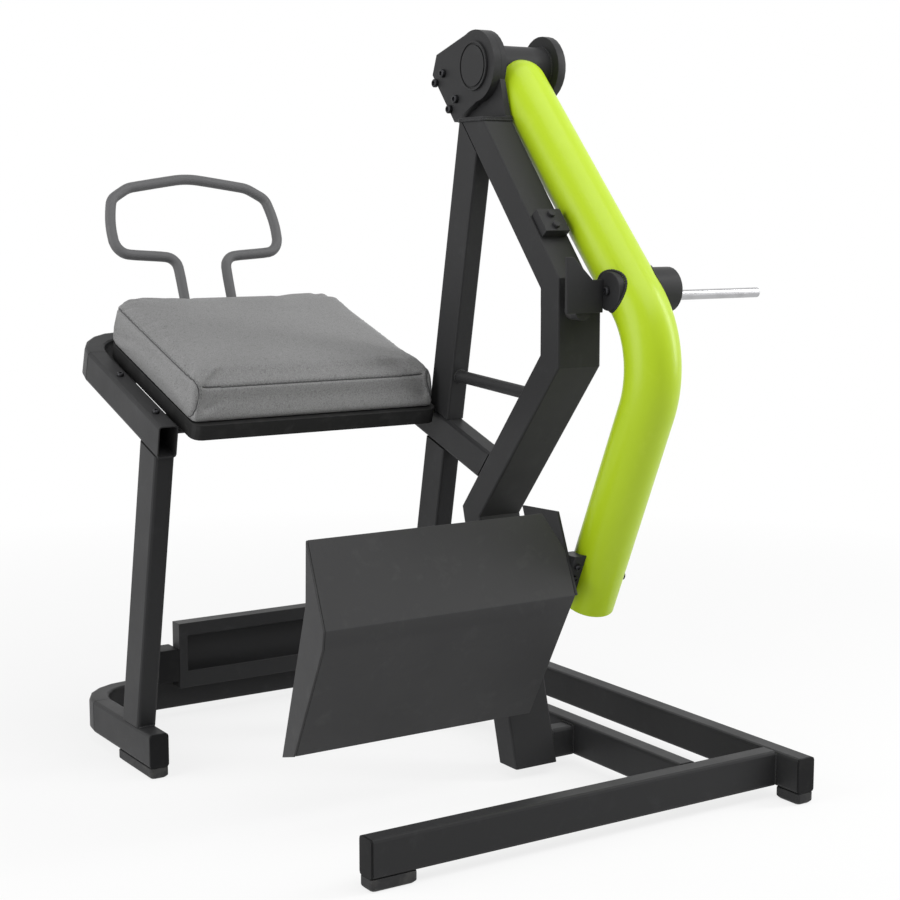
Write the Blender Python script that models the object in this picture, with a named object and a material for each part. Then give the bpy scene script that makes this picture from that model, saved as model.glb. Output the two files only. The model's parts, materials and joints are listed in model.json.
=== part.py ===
"""Glute kickback machine: pad frame, two columns and a swinging arm with a foot plate.

Units are metres, +Z is up and the user faces +Y. Sizes are measured from a datum corner:
x from the outer face of the left leg, y from the rear end of the right rail, z from the
floor. The whole machine hangs from one empty that centres it on the origin.
"""
from math import atan2, cos, hypot, pi, sin

import bmesh
import bpy
from mathutils import Vector

for old in list(bpy.data.objects):
    bpy.data.objects.remove(old, do_unlink=True)

# Clearances and stock
GAP = 0.0003
RUNNING_GAP = 0.0015
TUBE_WALL = 0.003
TUBE_WIDTH = 0.040
BASE_HEIGHT = 0.068
TUBE_CORNER = 0.006
INNER_CORNER_SHARE = 0.9
COLUMN_DEPTH = 0.058
COLUMN_WIDTH = 0.098
COLUMN_CORNER = 0.004
FRONT_COLUMN_DEPTH = 0.0715
LEG_DEPTH = 0.079
PAD_FRAME_HEIGHT = 0.063
CAP_THICKNESS = 0.004
ROUND_STEPS = 28
SCREW_STEPS = 12
SCREW_HEAD_SHARE = 0.9
SCREW_CHAMFER_SHARE = 0.2
CUTTER_OVERRUN = 0.010
CORNER_STEPS = 2

# Floor frame
BASE_BOTTOM = 0.032
FLOOR_LEVEL = 0.010
CROSS_FOOT_LEFT = 0.070
CROSS_FOOT_REAR = 0.061
TIE_LENGTH = 0.0535
RAIL_SPACING = 0.1655
FRONT_TUBE_REAR = 1.167
STUB_REAR = 0.794
BASE_BEND_RADIUS = 0.100
SIDE_FOOT_LENGTH = 0.062
CROSS_FOOT_PAD_LENGTH = 0.090
STUB_FOOT_LENGTH = 0.165
FOOT_INSET = 0.0005
FOOT_EDGE = 0.005

# Leg and pad frame
LEG_FRONT_AT_FLOOR = 0.956
LEG_LEAN = 0.2138
PAD_SLOPE = 0.3344
PAD_PLANE_HEIGHT = 0.4746
PAD_FRAME_FRONT = 1.160
PAD_BEND_RADIUS = 0.085
CROSSBAR_HEIGHT = 0.030
CROSSBAR_REAR_Y = 0.790
CROSSBAR_FRONT_Y = 1.020
FRAME_BOLT_YS = (0.775, 0.945)
FRAME_BOLT_RADIUS = 0.007

# Pad
PAD_WIDTH = 0.541
PAD_SIDE_GAP = 0.0125
PAD_COLUMN_GAP = 0.0055
PAD_REAR = 0.677
PAD_FRONT = 1.115
BOARD_BOTTOM = -0.018
BOARD_TOP = 0.014
BOARD_INSET = 0.002
CUSHION_THICKNESS = 0.078
CUSHION_CORNER_FRONT = 0.062
CUSHION_CORNER_REAR = 0.022
CUSHION_ROLL = 0.016
CUSHION_CROWN = 0.007
CUSHION_TUCK = 0.008
CUSHION_LOWER_LEVEL = 0.014
CUSHION_FULL_LEVEL = 0.034
CUSHION_LOWER_TUCK_SHARE = 0.25
CUSHION_CROWN_STEPS = ((0.030, 0.30), (0.060, 0.62), (0.100, 0.86), (0.150, 0.97))
CUSHION_FRONT_LEAN = 0.6
SMALLEST_CORNER = 0.004
LONGEST_EDGE = 0.075

# Handle
HANDLE_RADIUS = 0.0112
HANDLE_LEAN = 0.40
HANDLE_OFFSET = 0.006
HANDLE_NECK = 0.055
HANDLE_NECK_T = 0.168
HANDLE_WING = (0.190, 0.176)
HANDLE_WIDEST = (0.196, 0.240)
HANDLE_SHOULDER = (0.182, 0.300)
HANDLE_CORNER = (0.140, 0.326)
HANDLE_PEAK_T = 0.349
HANDLE_BENDS = (0.030, 0.034, 0.200, 0.030, 0.060)
HANDLE_PEAK_BEND = 0.200

# Columns
FRONT_COLUMN_FRONT_AT_FLOOR = 0.8636
FRONT_COLUMN_LEAN = 0.1938
COLUMN_FOOT_Y = 0.436
COLUMN_KNEE = (0.570, 0.520)
COLUMN_WAIST_OFFSET = (-0.308, -0.556)
COLUMN_SHOULDER_OFFSET = (-0.308, -0.412)
COLUMN_AIM_OFFSET = (0.044, 0.004)
COLUMN_NECK_DROP = 0.463
COLUMN_NECK_LENGTH = 0.012
UPPER_COLUMN_WIDTH = 0.068
HEAD_HEIGHT = 0.108
COLUMN_CAP_THICKNESS = 0.006
TIE_ROD_RADIUS = 0.0125
TIE_ROD_FRONT_Z = 0.783
TIE_ROD_REAR_Z = 0.769
TIE_HEIGHT = 0.060

# Pivot and head
PIVOT_Y = 0.618
PIVOT_Z = 1.393
HOUSING_RADIUS = 0.0695
HOUSING_THICKNESS = 0.017
HEAD_PLATE_THICKNESS = 0.012
EAR_OUTER = (0.153, -0.009)
EAR_LOWER = (0.071, -0.106)
EAR_UPPER = (0.138, 0.030)
HOUSING_BOLTS = ((0.138, -0.026), (0.086, -0.080), (0.111, -0.008), (0.0636, -0.061))
EAR_UPPER_TURN = 0.28
EAR_LOWER_TURN = 0.22
HEAD_PLATE_INSET = 0.004
HOUSING_BOLT_RADIUS = 0.0045
HOUSING_BOLT_HEAD = 0.0085
HOUSING_CAP_RADIUS = 0.048
HOUSING_CAP_THICKNESS = 0.005
CAP_GROOVE_WIDTH = 0.004
CAP_GROOVE_DEPTH = 0.003
SHAFT_RADIUS = 0.0175
SHAFT_SETBACK = 0.006
SHAFT_BEVEL = 0.001
SLEEVE_RADIUS = 0.0415
SLEEVE_BORE = 0.030
SLEEVE_REACH = 0.072
BEARING_WIDTH = 0.018
LEFT_BEARING_SETBACK = 0.002
RIGHT_BEARING_SETBACK = 0.010
END_DISC_RADIUS = 0.0635
END_DISC_THICKNESS = 0.020
END_DISC_BEVEL = 0.003
END_DISC_RECESS = 0.004

# Arm
ARM_RADIUS = 0.0522
ARM_WALL = 0.004
ARM_SIDE_GAP = 0.0038
ARM_CORNER_OFFSET = (-0.4917, -0.5311)
ARM_END_OFFSET = (-0.271, -1.028)
ARM_BEND_RADIUS = 0.187
ARM_BEND_STEPS = 9
ARM_TOP_SETBACK = 0.054
ARM_DOME_STEPS = 5
ARM_END_EDGE = 0.004

# Rod and its hubs
HORN_SETBACK = 0.3922
HORN_DROP = 0.4247
ROD_DROP = 0.436
ROD_RADIUS = 0.0095
ROD_REACH = 0.22
RIGHT_HUB_RADIUS = 0.042
RIGHT_HUB_REACH = 0.089
LEFT_BOSS_RADIUS = 0.0360
LEFT_BOSS_REACH = 0.0545
HUB_BEVEL = 0.002
BOSS_BOLT_RADIUS = 0.008

# Stop tab and bumpers
TAB_THICKNESS = 0.008
TAB_REAR_SETBACK = 0.38
TAB_OVERHANG = 0.012
TAB_PEAK_WIDTH = 0.014
TAB_SLOPE_WIDTH = 0.044
TAB_BOTTOM_DROP = 0.464
TAB_TOP_DROP = 0.404
TAB_PEAK_DROP = 0.362
BUMPER_RADIUS = 0.018
BUMPER_INSET = 0.031
BUMPER_DROP = 0.46
BLOCK_WIDTH = 0.054
BLOCK_LENGTH = 0.052
BLOCK_THICKNESS = 0.018
BLOCK_DROP = 0.327
BLOCK_BOLT_RADIUS = 0.0075
BLOCK_BOLT_LENGTH = 0.010
BLOCK_BOLT_BITE = 0.004

# Foot plate
PLATE_WIDTH = 0.5323
PLATE_OVERLAP = 0.039
PLATE_SHEET = 0.004
PLATE_TOP_OFFSET = (-0.2838, -0.843)
PLATE_CREASE_OFFSET = (-0.3449, -0.9932)
PLATE_NOSE_OFFSET = (-0.34, -1.0261)
PLATE_BOTTOM_OFFSET = (-0.2306, -1.2445)
PLATE_CHAMFER_INSET = 0.0337
PLATE_CHAMFER_T = 0.46
LOWER_TOP_INSET = 0.1027
LOWER_MID_INSET = 0.0288
LOWER_RIGHT_MID_T = 0.58
LOWER_END_INSET = 0.0219
WALL_FRONT_TOP_OFFSET = (-0.2803, -0.9597)
WALL_FRONT_BOTTOM_OFFSET = (-0.1852, -1.2573)
GUSSET_THICKNESS = 0.006
GUSSET_FRONT_TOP_OFFSET = (-0.1695, -0.8474)
GUSSET_FRONT_LOW_OFFSET = (-0.233, -1.013)
MOUNT_BLOCK_DROPS = (1.011, 0.923)
MOUNT_BLOCK_REAR = -0.016
MOUNT_BLOCK_FRONT = 0.034
MOUNT_BLOCK_REACH = 0.85
MOUNT_BOLT_DROPS = (0.993, 0.969, 0.945)
MOUNT_BOLT_RADIUS = 0.0065
THROUGH_BOLT_DROP = 0.981
THROUGH_BOLT_REACH = 0.009
THROUGH_BOLT_RADIUS = 0.0095

# Toe board
TOE_LENGTH = 0.524
TOE_RAIL_GAP = 0.0105
TOE_REAR = 1.131
TOE_BOTTOM = 0.084
TOE_TOP = 0.227
TOE_SHEET = 0.003
TOE_UPPER_LIP = 0.028
TOE_LOWER_LIP = 0.037
TOE_SIDE_LIP = 0.020
TOE_BRACKET_WIDTH = 0.048
TOE_BRACKET_TOP = 0.172



def from_pivot(offset):
    """The place of a spot given as metres ahead of the pivot and above it."""
    return PIVOT_Y + offset[0], PIVOT_Z + offset[1]


# Places that hang from the pivot
ARM_CORNER = from_pivot(ARM_CORNER_OFFSET)
ARM_END = from_pivot(ARM_END_OFFSET)
PLATE_TOP = from_pivot(PLATE_TOP_OFFSET)
PLATE_CREASE = from_pivot(PLATE_CREASE_OFFSET)
PLATE_NOSE = from_pivot(PLATE_NOSE_OFFSET)
PLATE_BOTTOM = from_pivot(PLATE_BOTTOM_OFFSET)
WALL_FRONT_TOP = from_pivot(WALL_FRONT_TOP_OFFSET)
WALL_FRONT_BOTTOM = from_pivot(WALL_FRONT_BOTTOM_OFFSET)
GUSSET_FRONT_TOP = from_pivot(GUSSET_FRONT_TOP_OFFSET)
GUSSET_FRONT_LOW = from_pivot(GUSSET_FRONT_LOW_OFFSET)
COLUMN_WAIST = from_pivot(COLUMN_WAIST_OFFSET)
COLUMN_SHOULDER = from_pivot(COLUMN_SHOULDER_OFFSET)
COLUMN_AIM = from_pivot(COLUMN_AIM_OFFSET)
HORN_Z = PIVOT_Z - HORN_DROP
ROD_Z = PIVOT_Z - ROD_DROP
TAB_BOTTOM = PIVOT_Z - TAB_BOTTOM_DROP
TAB_TOP = PIVOT_Z - TAB_TOP_DROP
TAB_PEAK = PIVOT_Z - TAB_PEAK_DROP
BUMPER_Z = PIVOT_Z - BUMPER_DROP
BLOCK_Z = PIVOT_Z - BLOCK_DROP
THROUGH_BOLT_Z = PIVOT_Z - THROUGH_BOLT_DROP
COLUMN_NECK_Z = PIVOT_Z - COLUMN_NECK_DROP
HORN_Y = PIVOT_Y - HORN_SETBACK
TAB_REAR = PIVOT_Y - TAB_REAR_SETBACK
MOUNT_BLOCK_Z = tuple(PIVOT_Z - drop for drop in MOUNT_BLOCK_DROPS)
MOUNT_BOLT_ZS = tuple(PIVOT_Z - drop for drop in MOUNT_BOLT_DROPS)
COLUMN_TOP = PIVOT_Z - HEAD_HEIGHT

# Sizes that follow from those above
BASE_TOP = BASE_BOTTOM + BASE_HEIGHT
BASE_MIDDLE = (BASE_BOTTOM + BASE_TOP) / 2
HALF_TUBE = TUBE_WIDTH / 2
PAD_CENTRE_X = TUBE_WIDTH + PAD_SIDE_GAP + PAD_WIDTH / 2
HANDLE_CENTRE_X = PAD_CENTRE_X - HANDLE_OFFSET
COLUMNS_LEFT = PAD_CENTRE_X + PAD_WIDTH / 2 + PAD_COLUMN_GAP
COLUMNS_RIGHT = COLUMNS_LEFT + COLUMN_WIDTH
LEFT_RAIL_LEFT = COLUMNS_RIGHT + TIE_LENGTH
RIGHT_RAIL_LEFT = LEFT_RAIL_LEFT + TUBE_WIDTH + RAIL_SPACING
TOE_RIGHT = LEFT_RAIL_LEFT - TOE_RAIL_GAP
TOE_LEFT = TOE_RIGHT - TOE_LENGTH
PLATE_RIGHT = COLUMNS_LEFT + PLATE_OVERLAP
PLATE_LEFT = PLATE_RIGHT - PLATE_WIDTH
PLATE_CHAMFER_X = PLATE_RIGHT - PLATE_CHAMFER_INSET
LOWER_RIGHT_TOP_X = PLATE_RIGHT - LOWER_TOP_INSET
LOWER_RIGHT_MID_X = PLATE_RIGHT - LOWER_MID_INSET
LOWER_RIGHT_END_X = PLATE_RIGHT - LOWER_END_INSET
TAB_LEFT = COLUMNS_LEFT - TAB_OVERHANG
BUMPER_X = COLUMNS_LEFT + BUMPER_INSET
BEAM_X = COLUMNS_LEFT + HALF_TUBE
HEAD_PLATE_RIGHT = COLUMNS_LEFT + UPPER_COLUMN_WIDTH
ARM_X = HEAD_PLATE_RIGHT + ARM_SIDE_GAP + ARM_RADIUS
SLEEVE_RIGHT = ARM_X + SLEEVE_REACH
LEFT_BOSS_START = ARM_X - LEFT_BOSS_REACH
RIGHT_HUB_END = ARM_X + RIGHT_HUB_REACH
ROD_END = RIGHT_HUB_END + ROD_REACH
HEAD_PLATE_LEFT = HEAD_PLATE_RIGHT - HEAD_PLATE_THICKNESS
HOUSING_RIGHT = HEAD_PLATE_LEFT - GAP
HOUSING_LEFT = HOUSING_RIGHT - HOUSING_THICKNESS
RIGHT_RAIL_RIGHT = RIGHT_RAIL_LEFT + TUBE_WIDTH
FRONT_TUBE_FRONT = FRONT_TUBE_REAR + TUBE_WIDTH
X_AXIS = Vector((1, 0, 0))
Y_AXIS = Vector((0, 1, 0))
Z_AXIS = Vector((0, 0, 1))
PIVOT = Vector((0, PIVOT_Y, PIVOT_Z))
PAD_LENGTHWISE = Vector((0, 1, PAD_SLOPE)).normalized()
PAD_UP = Vector((0, -PAD_SLOPE, 1)).normalized()
SLOPE_COS = PAD_LENGTHWISE.y
COLUMN_RUN = (Vector((0, *COLUMN_KNEE)) - Vector((0, *COLUMN_WAIST))).normalized()
COLUMN_FRONT = Vector((0, -COLUMN_RUN.z, COLUMN_RUN.y))
COLUMN_FACE = Vector((0, *COLUMN_WAIST)) + COLUMN_FRONT * (COLUMN_DEPTH / 2 + GAP)


# Materials
def material(name, colour, roughness, metallic=0.0):
    made = bpy.data.materials.new(name)
    made.use_nodes = True
    shader = made.node_tree.nodes["Principled BSDF"]
    shader.inputs["Base Color"].default_value = (*colour, 1)
    shader.inputs["Roughness"].default_value = roughness
    shader.inputs["Metallic"].default_value = metallic
    return made


FRAME_BLACK = material("frame_black", (0.020, 0.021, 0.022), 0.35)
HANDLE_GREY = material("handle_grey", (0.090, 0.090, 0.092), 0.35)
ARM_GREEN = material("arm_green", (0.42, 0.66, 0.03), 0.35)
PLATE_GREY = material("plate_grey", (0.045, 0.045, 0.047), 0.45)
CAP_BLACK = material("cap_black", (0.010, 0.010, 0.011), 0.5)
RUBBER_BLACK = material("rubber_black", (0.018, 0.018, 0.019), 0.8)
VINYL_GREY = material("vinyl_grey", (0.135, 0.135, 0.137), 0.42)
BOARD_BLACK = material("board_black", (0.020, 0.020, 0.020), 0.6)
BRIGHT_STEEL = material("bright_steel", (0.62, 0.62, 0.63), 0.25, 1.0)
DARK_STEEL = material("dark_steel", (0.05, 0.05, 0.055), 0.4, 1.0)

# Empties that carry the pieces
machine = bpy.data.objects.new("machine", None)
bpy.context.collection.objects.link(machine)
arm_axis = bpy.data.objects.new("arm_axis", None)
arm_axis.parent = machine
arm_axis.location = PIVOT
bpy.context.collection.objects.link(arm_axis)


# Mesh helpers
def add_object(name, mesh, finish, moving=False, smooth=False):
    made = bpy.data.objects.new(name, mesh)
    bpy.context.collection.objects.link(made)
    made.parent = arm_axis if moving else machine
    if moving:
        made.location = -PIVOT
    mesh.materials.append(finish)
    if smooth:
        mesh.shade_smooth()
        mesh.set_sharp_from_angle(angle=pi / 6)
    return made


def mesh_of(name, points, faces):
    mesh = bpy.data.meshes.new(name)
    work = bmesh.new()
    corners = [work.verts.new(point) for point in points]
    for face in faces:
        work.faces.new([corners[index] for index in face])
    bmesh.ops.recalc_face_normals(work, faces=work.faces)
    work.to_mesh(mesh)
    work.free()
    return mesh


def rounded_rectangle(half_a, half_b, radius, steps=CORNER_STEPS):
    section = []
    for quarter, (sign_a, sign_b) in enumerate(((1, 1), (-1, 1), (-1, -1), (1, -1))):
        for step in range(steps + 1):
            angle = (quarter + step / steps) * pi / 2
            section.append((sign_a * (half_a - radius) + radius * cos(angle),
                            sign_b * (half_b - radius) + radius * sin(angle)))
    return section


def circle(radius, steps):
    angles = [2 * pi * step / steps for step in range(steps)]
    return [(radius * cos(angle), radius * sin(angle)) for angle in angles]


def filleted(points, radii, steps):
    """Replaces each inner point of a path by an arc of its own radius."""
    path = [points[0]]
    for before, corner, after, radius in zip(points, points[1:], points[2:], radii):
        back = (before - corner).normalized()
        ahead = (after - corner).normalized()
        half = back.angle(ahead) / 2
        reach = radius / sin(half) * cos(half)
        centre = corner + (back + ahead).normalized() * radius / sin(half)
        start = corner + back * reach - centre
        end = corner + ahead * reach - centre
        turn = start.angle(end)
        for step in range(steps + 1):
            share = step / steps
            mixed = start * sin((1 - share) * turn) + end * sin(share * turn)
            path.append(centre + mixed / sin(turn))
    path.append(points[-1])
    return path


def ring_sets(path, side, section, start_cut, end_cut):
    """Places a section at each path point, mitred at the corners and cut at the ends."""
    rings = []
    for index, point in enumerate(path):
        ahead = (path[index + 1] - point).normalized() if index + 1 < len(path) else None
        behind = (point - path[index - 1]).normalized() if index else None
        along = behind or ahead
        if ahead is None:
            plane = end_cut or along
        elif behind is None:
            plane = start_cut or along
        else:
            plane = behind + ahead
        across = side.cross(along)
        ring = []
        for a, b in section:
            offset = side * a + across * b
            ring.append(point + offset - along * (offset.dot(plane) / along.dot(plane)))
        rings.append(ring)
    return rings


def swept(name, path, side, outer, inner=None, start_cut=None, end_cut=None):
    """Sweeps a section along a flat path; with an inner section it is an open tube."""
    rings = ring_sets(path, side, outer, start_cut, end_cut)
    count = len(outer)
    points = [point for ring in rings for point in ring]
    faces = []

    def skin(first, total):
        for layer in range(total - 1):
            for step in range(count):
                base = first + layer * count
                follow = (step + 1) % count
                faces.append((base + step, base + follow, base + count + follow, base + count + step))

    skin(0, len(rings))
    last = (len(rings) - 1) * count
    if inner is None:
        faces.append(tuple(range(count)))
        faces.append(tuple(range(last, last + count)))
        return mesh_of(name, points, faces)
    inner_first = len(points)
    for ring in ring_sets(path, side, inner, start_cut, end_cut):
        points.extend(ring)
    skin(inner_first, len(rings))
    for layer in (0, last):
        for step in range(count):
            follow = (step + 1) % count
            within = inner_first + layer
            faces.append((layer + step, layer + follow, within + follow, within + step))
    return mesh_of(name, points, faces)


def box_tube(name, path, side, side_size, depth, finish=FRAME_BLACK, start_cut=None, end_cut=None,
             corner=TUBE_CORNER):
    outer = rounded_rectangle(side_size / 2, depth / 2, corner)
    inner_corner = corner - TUBE_WALL * INNER_CORNER_SHARE
    inner = rounded_rectangle(side_size / 2 - TUBE_WALL, depth / 2 - TUBE_WALL, inner_corner)
    return add_object(name, swept(name, path, side, outer, inner, start_cut, end_cut), finish, smooth=True)


def prism(name, outline, across, low, high):
    """Extrudes an outline; across is the axis letter that the outline lies square to."""
    def place(pair, level):
        first, second = pair
        return {"X": (level, first, second), "Y": (first, level, second), "Z": (first, second, level)}[across]

    count = len(outline)
    points = [place(pair, low) for pair in outline] + [place(pair, high) for pair in outline]
    faces = [tuple(range(count)), tuple(range(count, 2 * count))]
    for step in range(count):
        follow = (step + 1) % count
        faces.append((step, follow, count + follow, count + step))
    return mesh_of(name, points, faces)


def block(name, low, high):
    outline = ((low[0], low[1]), (high[0], low[1]), (high[0], high[1]), (low[0], high[1]))
    return prism(name, outline, "Z", low[2], high[2])


def revolved(name, profile, origin, axis, steps=ROUND_STEPS, closed=False):
    """Turns (distance along axis, radius) pairs; closed joins the last pair to the first."""
    first = axis.orthogonal().normalized()
    second = axis.cross(first)
    points = []
    rows = []
    for distance, radius in profile:
        centre = origin + axis * distance
        if radius == 0:
            rows.append([len(points)] * steps)
            points.append(centre)
            continue
        rows.append(range(len(points), len(points) + steps))
        for a, b in circle(radius, steps):
            points.append(centre + first * a + second * b)
    pairs = list(zip(rows, rows[1:]))
    if closed:
        pairs.append((rows[-1], rows[0]))
    faces = []
    for row, following in pairs:
        for step in range(steps):
            ahead = (step + 1) % steps
            corners = (row[step], row[ahead], following[ahead], following[step])
            faces.append(tuple(dict.fromkeys(corners)))
    return mesh_of(name, points, [face for face in faces if len(face) > 2])


def disc(name, origin, axis, radius, length, bevel=0.0, steps=ROUND_STEPS):
    profile = [(0, 0), (0, radius), (length - bevel, radius), (length, radius - bevel), (length, 0)]
    if bevel == 0:
        profile.pop(3)
    return revolved(name, profile, origin, axis, steps)


def cut(target, name, mesh, operation="DIFFERENCE"):
    """Takes a helper's shape away from a piece, or joins it on."""
    cutter = bpy.data.objects.new(name, mesh)
    bpy.context.collection.objects.link(cutter)
    cutter.parent = machine
    cutter.hide_render = True
    cutter.display_type = "WIRE"
    modifier = target.modifiers.new(name, "BOOLEAN")
    modifier.operation = operation
    modifier.solver = "EXACT"
    modifier.object = cutter


def screw(name, origin, axis, radius, shank, moving=False, shank_radius=None):
    """A cap screw: its head stands on origin and its shank goes the other way."""
    head = radius * SCREW_HEAD_SHARE
    chamfer = radius * SCREW_CHAMFER_SHARE
    thread = shank_radius or radius * 0.5
    profile = [(-shank, 0), (-shank, thread), (0, thread), (0, radius), (head - chamfer, radius),
               (head, radius - chamfer), (head, radius * 0.5), (head * 0.5, radius * 0.5), (head * 0.5, 0)]
    if shank == 0:
        profile = [(0, 0)] + profile[3:]
    return add_object(name, revolved(name, profile, origin, axis, SCREW_STEPS), DARK_STEEL, moving, True)


def pad_top(y):
    """Height of the pad frame's top face at y."""
    return PAD_PLANE_HEIGHT + PAD_SLOPE * y


def leg_front(z):
    return LEG_FRONT_AT_FLOOR - LEG_LEAN * z


def front_column_front(z):
    return FRONT_COLUMN_FRONT_AT_FLOOR - FRONT_COLUMN_LEAN * z


# Floor frame
def base_tube(name, start, end):
    return box_tube(name, [start, end], Z_AXIS, BASE_HEIGHT, TUBE_WIDTH)


def end_cap(name, centre, axis, half_side, half_width):
    """A plastic plate on the tube's end."""
    side = Z_AXIS
    plate = rounded_rectangle(half_side, half_width, TUBE_CORNER)
    mesh = swept(name, [centre, centre + axis * (CAP_THICKNESS - GAP)], side, plate)
    add_object(name, mesh, CAP_BLACK)


def build_floor_frame():
    cross_y = CROSS_FOOT_REAR + HALF_TUBE
    right_x = RIGHT_RAIL_LEFT + HALF_TUBE
    left_x = LEFT_RAIL_LEFT + HALF_TUBE
    front_y = FRONT_TUBE_REAR + HALF_TUBE
    middle = BASE_MIDDLE
    base_tube("rear_cross_foot", Vector((CROSS_FOOT_LEFT + CAP_THICKNESS, cross_y, middle)),
              Vector((RIGHT_RAIL_LEFT - GAP, cross_y, middle)))
    bend_end = FRONT_TUBE_FRONT - HALF_TUBE - BASE_BEND_RADIUS
    base_tube("right_rail", Vector((right_x, CAP_THICKNESS, middle)),
              Vector((right_x, bend_end - GAP, middle)))
    base_tube("left_rail", Vector((left_x, CROSS_FOOT_REAR + TUBE_WIDTH + GAP, middle)),
              Vector((left_x, FRONT_TUBE_REAR - GAP, middle)))
    corners = [Vector((HALF_TUBE, bend_end, middle)), Vector((HALF_TUBE, front_y, middle)),
               Vector((right_x, front_y, middle)), Vector((right_x, bend_end, middle))]
    bent = filleted(corners, [BASE_BEND_RADIUS, BASE_BEND_RADIUS], 5)[1:-1]
    box_tube("front_cross_tube", bent, Z_AXIS, BASE_HEIGHT, TUBE_WIDTH, start_cut=Y_AXIS, end_cut=Y_AXIS)
    base_tube("left_stub", Vector((HALF_TUBE, STUB_REAR + CAP_THICKNESS, middle)),
              Vector((HALF_TUBE, bend_end - GAP, middle)))
    half_height = BASE_HEIGHT / 2
    end_cap("cross_foot_cap", Vector((CROSS_FOOT_LEFT + CAP_THICKNESS - GAP, cross_y, middle)), -X_AXIS,
            half_height, HALF_TUBE)
    end_cap("right_rail_cap", Vector((right_x, CAP_THICKNESS - GAP, middle)), -Y_AXIS, half_height, HALF_TUBE)
    end_cap("left_stub_cap", Vector((HALF_TUBE, STUB_REAR + CAP_THICKNESS - GAP, middle)), -Y_AXIS,
            half_height, HALF_TUBE)


def rubber_foot(name, low, high):
    """A moulded foot with its lower edges rounded off."""
    centre = Vector(((low[0] + high[0]) / 2, (low[1] + high[1]) / 2, 0))
    half_x = (high[0] - low[0]) / 2
    half_y = (high[1] - low[1]) / 2
    edge = FOOT_EDGE
    points = []
    levels = ((FLOOR_LEVEL, edge), (FLOOR_LEVEL + edge, 0), (BASE_BOTTOM - GAP, 0))
    for level, inset in levels:
        for a, b in rounded_rectangle(half_x - inset, half_y - inset, TUBE_CORNER):
            points.append(centre + Vector((a, b, level)))
    count = len(points) // len(levels)
    faces = [tuple(range(count)), tuple(range(2 * count, 3 * count))]
    for layer in range(len(levels) - 1):
        for step in range(count):
            follow = (step + 1) % count
            base = layer * count
            faces.append((base + step, base + follow, base + count + follow, base + count + step))
    add_object(name, mesh_of(name, points, faces), RUBBER_BLACK)


def build_feet():
    side = FOOT_INSET
    rubber_foot("foot_rear_left", (CROSS_FOOT_LEFT, CROSS_FOOT_REAR + side),
                (CROSS_FOOT_LEFT + CROSS_FOOT_PAD_LENGTH, CROSS_FOOT_REAR + TUBE_WIDTH - side))
    rubber_foot("foot_rear_right", (RIGHT_RAIL_LEFT + side, side),
                (RIGHT_RAIL_RIGHT - side, SIDE_FOOT_LENGTH))
    rubber_foot("foot_front_left", (side, STUB_REAR + side),
                (TUBE_WIDTH - side, STUB_REAR + STUB_FOOT_LENGTH))
    rail_end = FRONT_TUBE_FRONT - HALF_TUBE - BASE_BEND_RADIUS - GAP
    rubber_foot("foot_front_right", (RIGHT_RAIL_LEFT + side, rail_end - SIDE_FOOT_LENGTH),
                (RIGHT_RAIL_RIGHT - side, rail_end - side))


# Leg and pad frame
def build_leg():
    """The leg leans forward, stands on the stub and is cut to the pad frame's underside."""
    lean = Vector((0, -LEG_LEAN, 1)).normalized()
    half_run = LEG_DEPTH / 2 / lean.z
    start = Vector((HALF_TUBE, leg_front(BASE_TOP + GAP) - half_run, BASE_TOP + GAP))
    under = PAD_FRAME_HEIGHT / SLOPE_COS + GAP / SLOPE_COS
    rise = (pad_top(start.y) - under - start.z) / (lean.z - PAD_SLOPE * lean.y)
    box_tube("left_leg", [start, start + lean * rise], X_AXIS, TUBE_WIDTH, LEG_DEPTH,
             start_cut=Z_AXIS, end_cut=PAD_UP)


def pad_point(x, y):
    """A point on the pad frame tubes' centre plane."""
    return Vector((x, y, pad_top(y))) - PAD_UP * (PAD_FRAME_HEIGHT / 2)


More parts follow.
